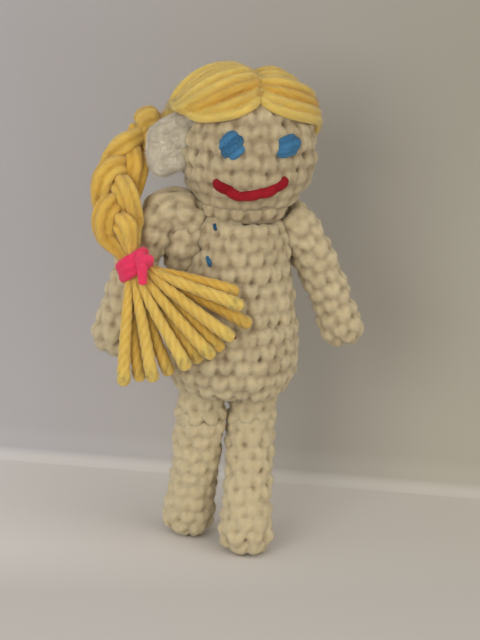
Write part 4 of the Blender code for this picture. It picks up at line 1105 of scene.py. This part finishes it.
def ramped(tree, output, low, high):
    """0 to 1 as an output goes from low to high."""
    return add_node(tree, "MapRange", {"Value": output, "From Min": low, "From Max": high}).outputs["Result"]


def blended(tree, first, second, factor):
    return add_node(tree, "Mix", {"A": first, "B": second, "Factor": factor}, data_type="RGBA").outputs["Result"]


def across_stage(tree, place, rows):
    """For each (left, right) row of colours with painted light and shade, their mix from left to right."""
    aside = ramped(tree, place["X"], -COLOUR_BLEND_WIDTH / 2, COLOUR_BLEND_WIDTH / 2)
    return [blended(tree, (*left, 1), (*right, 1), aside) for left, right in rows]


tree, shader, place = stage_piece("studio_floor", [(-FLOOR_HALF_DEPTH, 0.0), (FLOOR_HALF_DEPTH, 0.0)])
# Painted light on the floor: lighter from under the doll back to the wall, most on the left
near, far = across_stage(tree, place, FLOOR_COLOURS_WITH_PAINTED_LIGHT)
tree.links.new(blended(tree, near, far, ramped(tree, place["Y"], *FLOOR_DEPTH)), shader.inputs["Base Color"])

# The wall, which only its front side shows
bend = [(WALL_BEHIND - COVE + COVE * sin(a), COVE - COVE * cos(a)) for a in np.linspace(0, TAU / 4, 8)]
tree, shader, place = stage_piece("studio_wall", [*bend, (WALL_BEHIND, WALL_HEIGHT)])
# Painted light and shade on the wall: lighter at its foot than higher up, and darker and warmer on the right; at the
# bend it takes the floor's colour
foot, low, high = across_stage(tree, place, (FLOOR_COLOURS_WITH_PAINTED_LIGHT[1], *WALL_COLOURS_WITH_PAINTED_LIGHT))
colour = blended(tree, low, high, ramped(tree, place["Z"], *WALL_RISE))
colour = blended(tree, foot, colour, ramped(tree, place["Z"], 0, 0.3 * COVE))
tree.links.new(colour, shader.inputs["Base Color"])
behind = add_node(tree, "NewGeometry").outputs["Backfacing"]
clear = add_node(tree, "BsdfTransparent").outputs[0]
seen = add_node(tree, "MixShader", {0: behind, 1: shader.outputs[0], 2: clear}).outputs[0]
tree.links.new(seen, tree.nodes["Material Output"].inputs["Surface"])

# Light: soft square lamps that look at the doll's middle
for name, azimuth, elevation, size, power, colour in LAMPS:
    data = bpy.data.lights.new(name, "AREA")
    data.size = size
    data.energy = power
    data.color = colour
    rise = radians(elevation)
    aim = Vector(aimed(radians(azimuth), cos(rise), sin(rise)))
    lamp = linked(name, data)
    lamp.location = Vector(LAMP_TARGET) + aim * LAMP_DISTANCE
    lamp.rotation_mode = "QUATERNION"
    lamp.rotation_quaternion = aim.to_track_quat("Z", "Y")
    lamp.visible_camera = False
world = bpy.data.worlds.new("world")
scene.world = world
world.use_nodes = True
world.node_tree.nodes["Background"].inputs["Color"].default_value = (*WORLD_COLOUR, 1)
world.node_tree.nodes["Background"].inputs["Strength"].default_value = WORLD_STRENGTH

# Camera
back = Vector(aimed(CAMERA_AZIMUTH, cos(CAMERA_ELEVATION), sin(CAMERA_ELEVATION)))
right = Vector((cos(CAMERA_AZIMUTH), sin(CAMERA_AZIMUTH), 0))
upward = back.cross(right)
image_right = right * cos(CAMERA_ROLL) + upward * sin(CAMERA_ROLL)
image_up = upward * cos(CAMERA_ROLL) - right * sin(CAMERA_ROLL)
target = Vector(head_centre) + right * CAMERA_RIGHT_OF_HEAD - upward * CAMERA_BELOW_HEAD
camera = bpy.data.cameras.new("camera")
camera.sensor_width = SENSOR
camera.lens = SENSOR / 2 * CAMERA_DISTANCE / (PIXEL * PICTURE_HEIGHT_PX / 2)
camera.clip_start = 0.01
view = linked("camera", camera)
view.location = target + back * CAMERA_DISTANCE
view.rotation_mode = "QUATERNION"
view.rotation_quaternion = Matrix((image_right, image_up, back)).transposed().to_quaternion()
scene.camera = view
scene.view_settings.view_transform = "Standard"
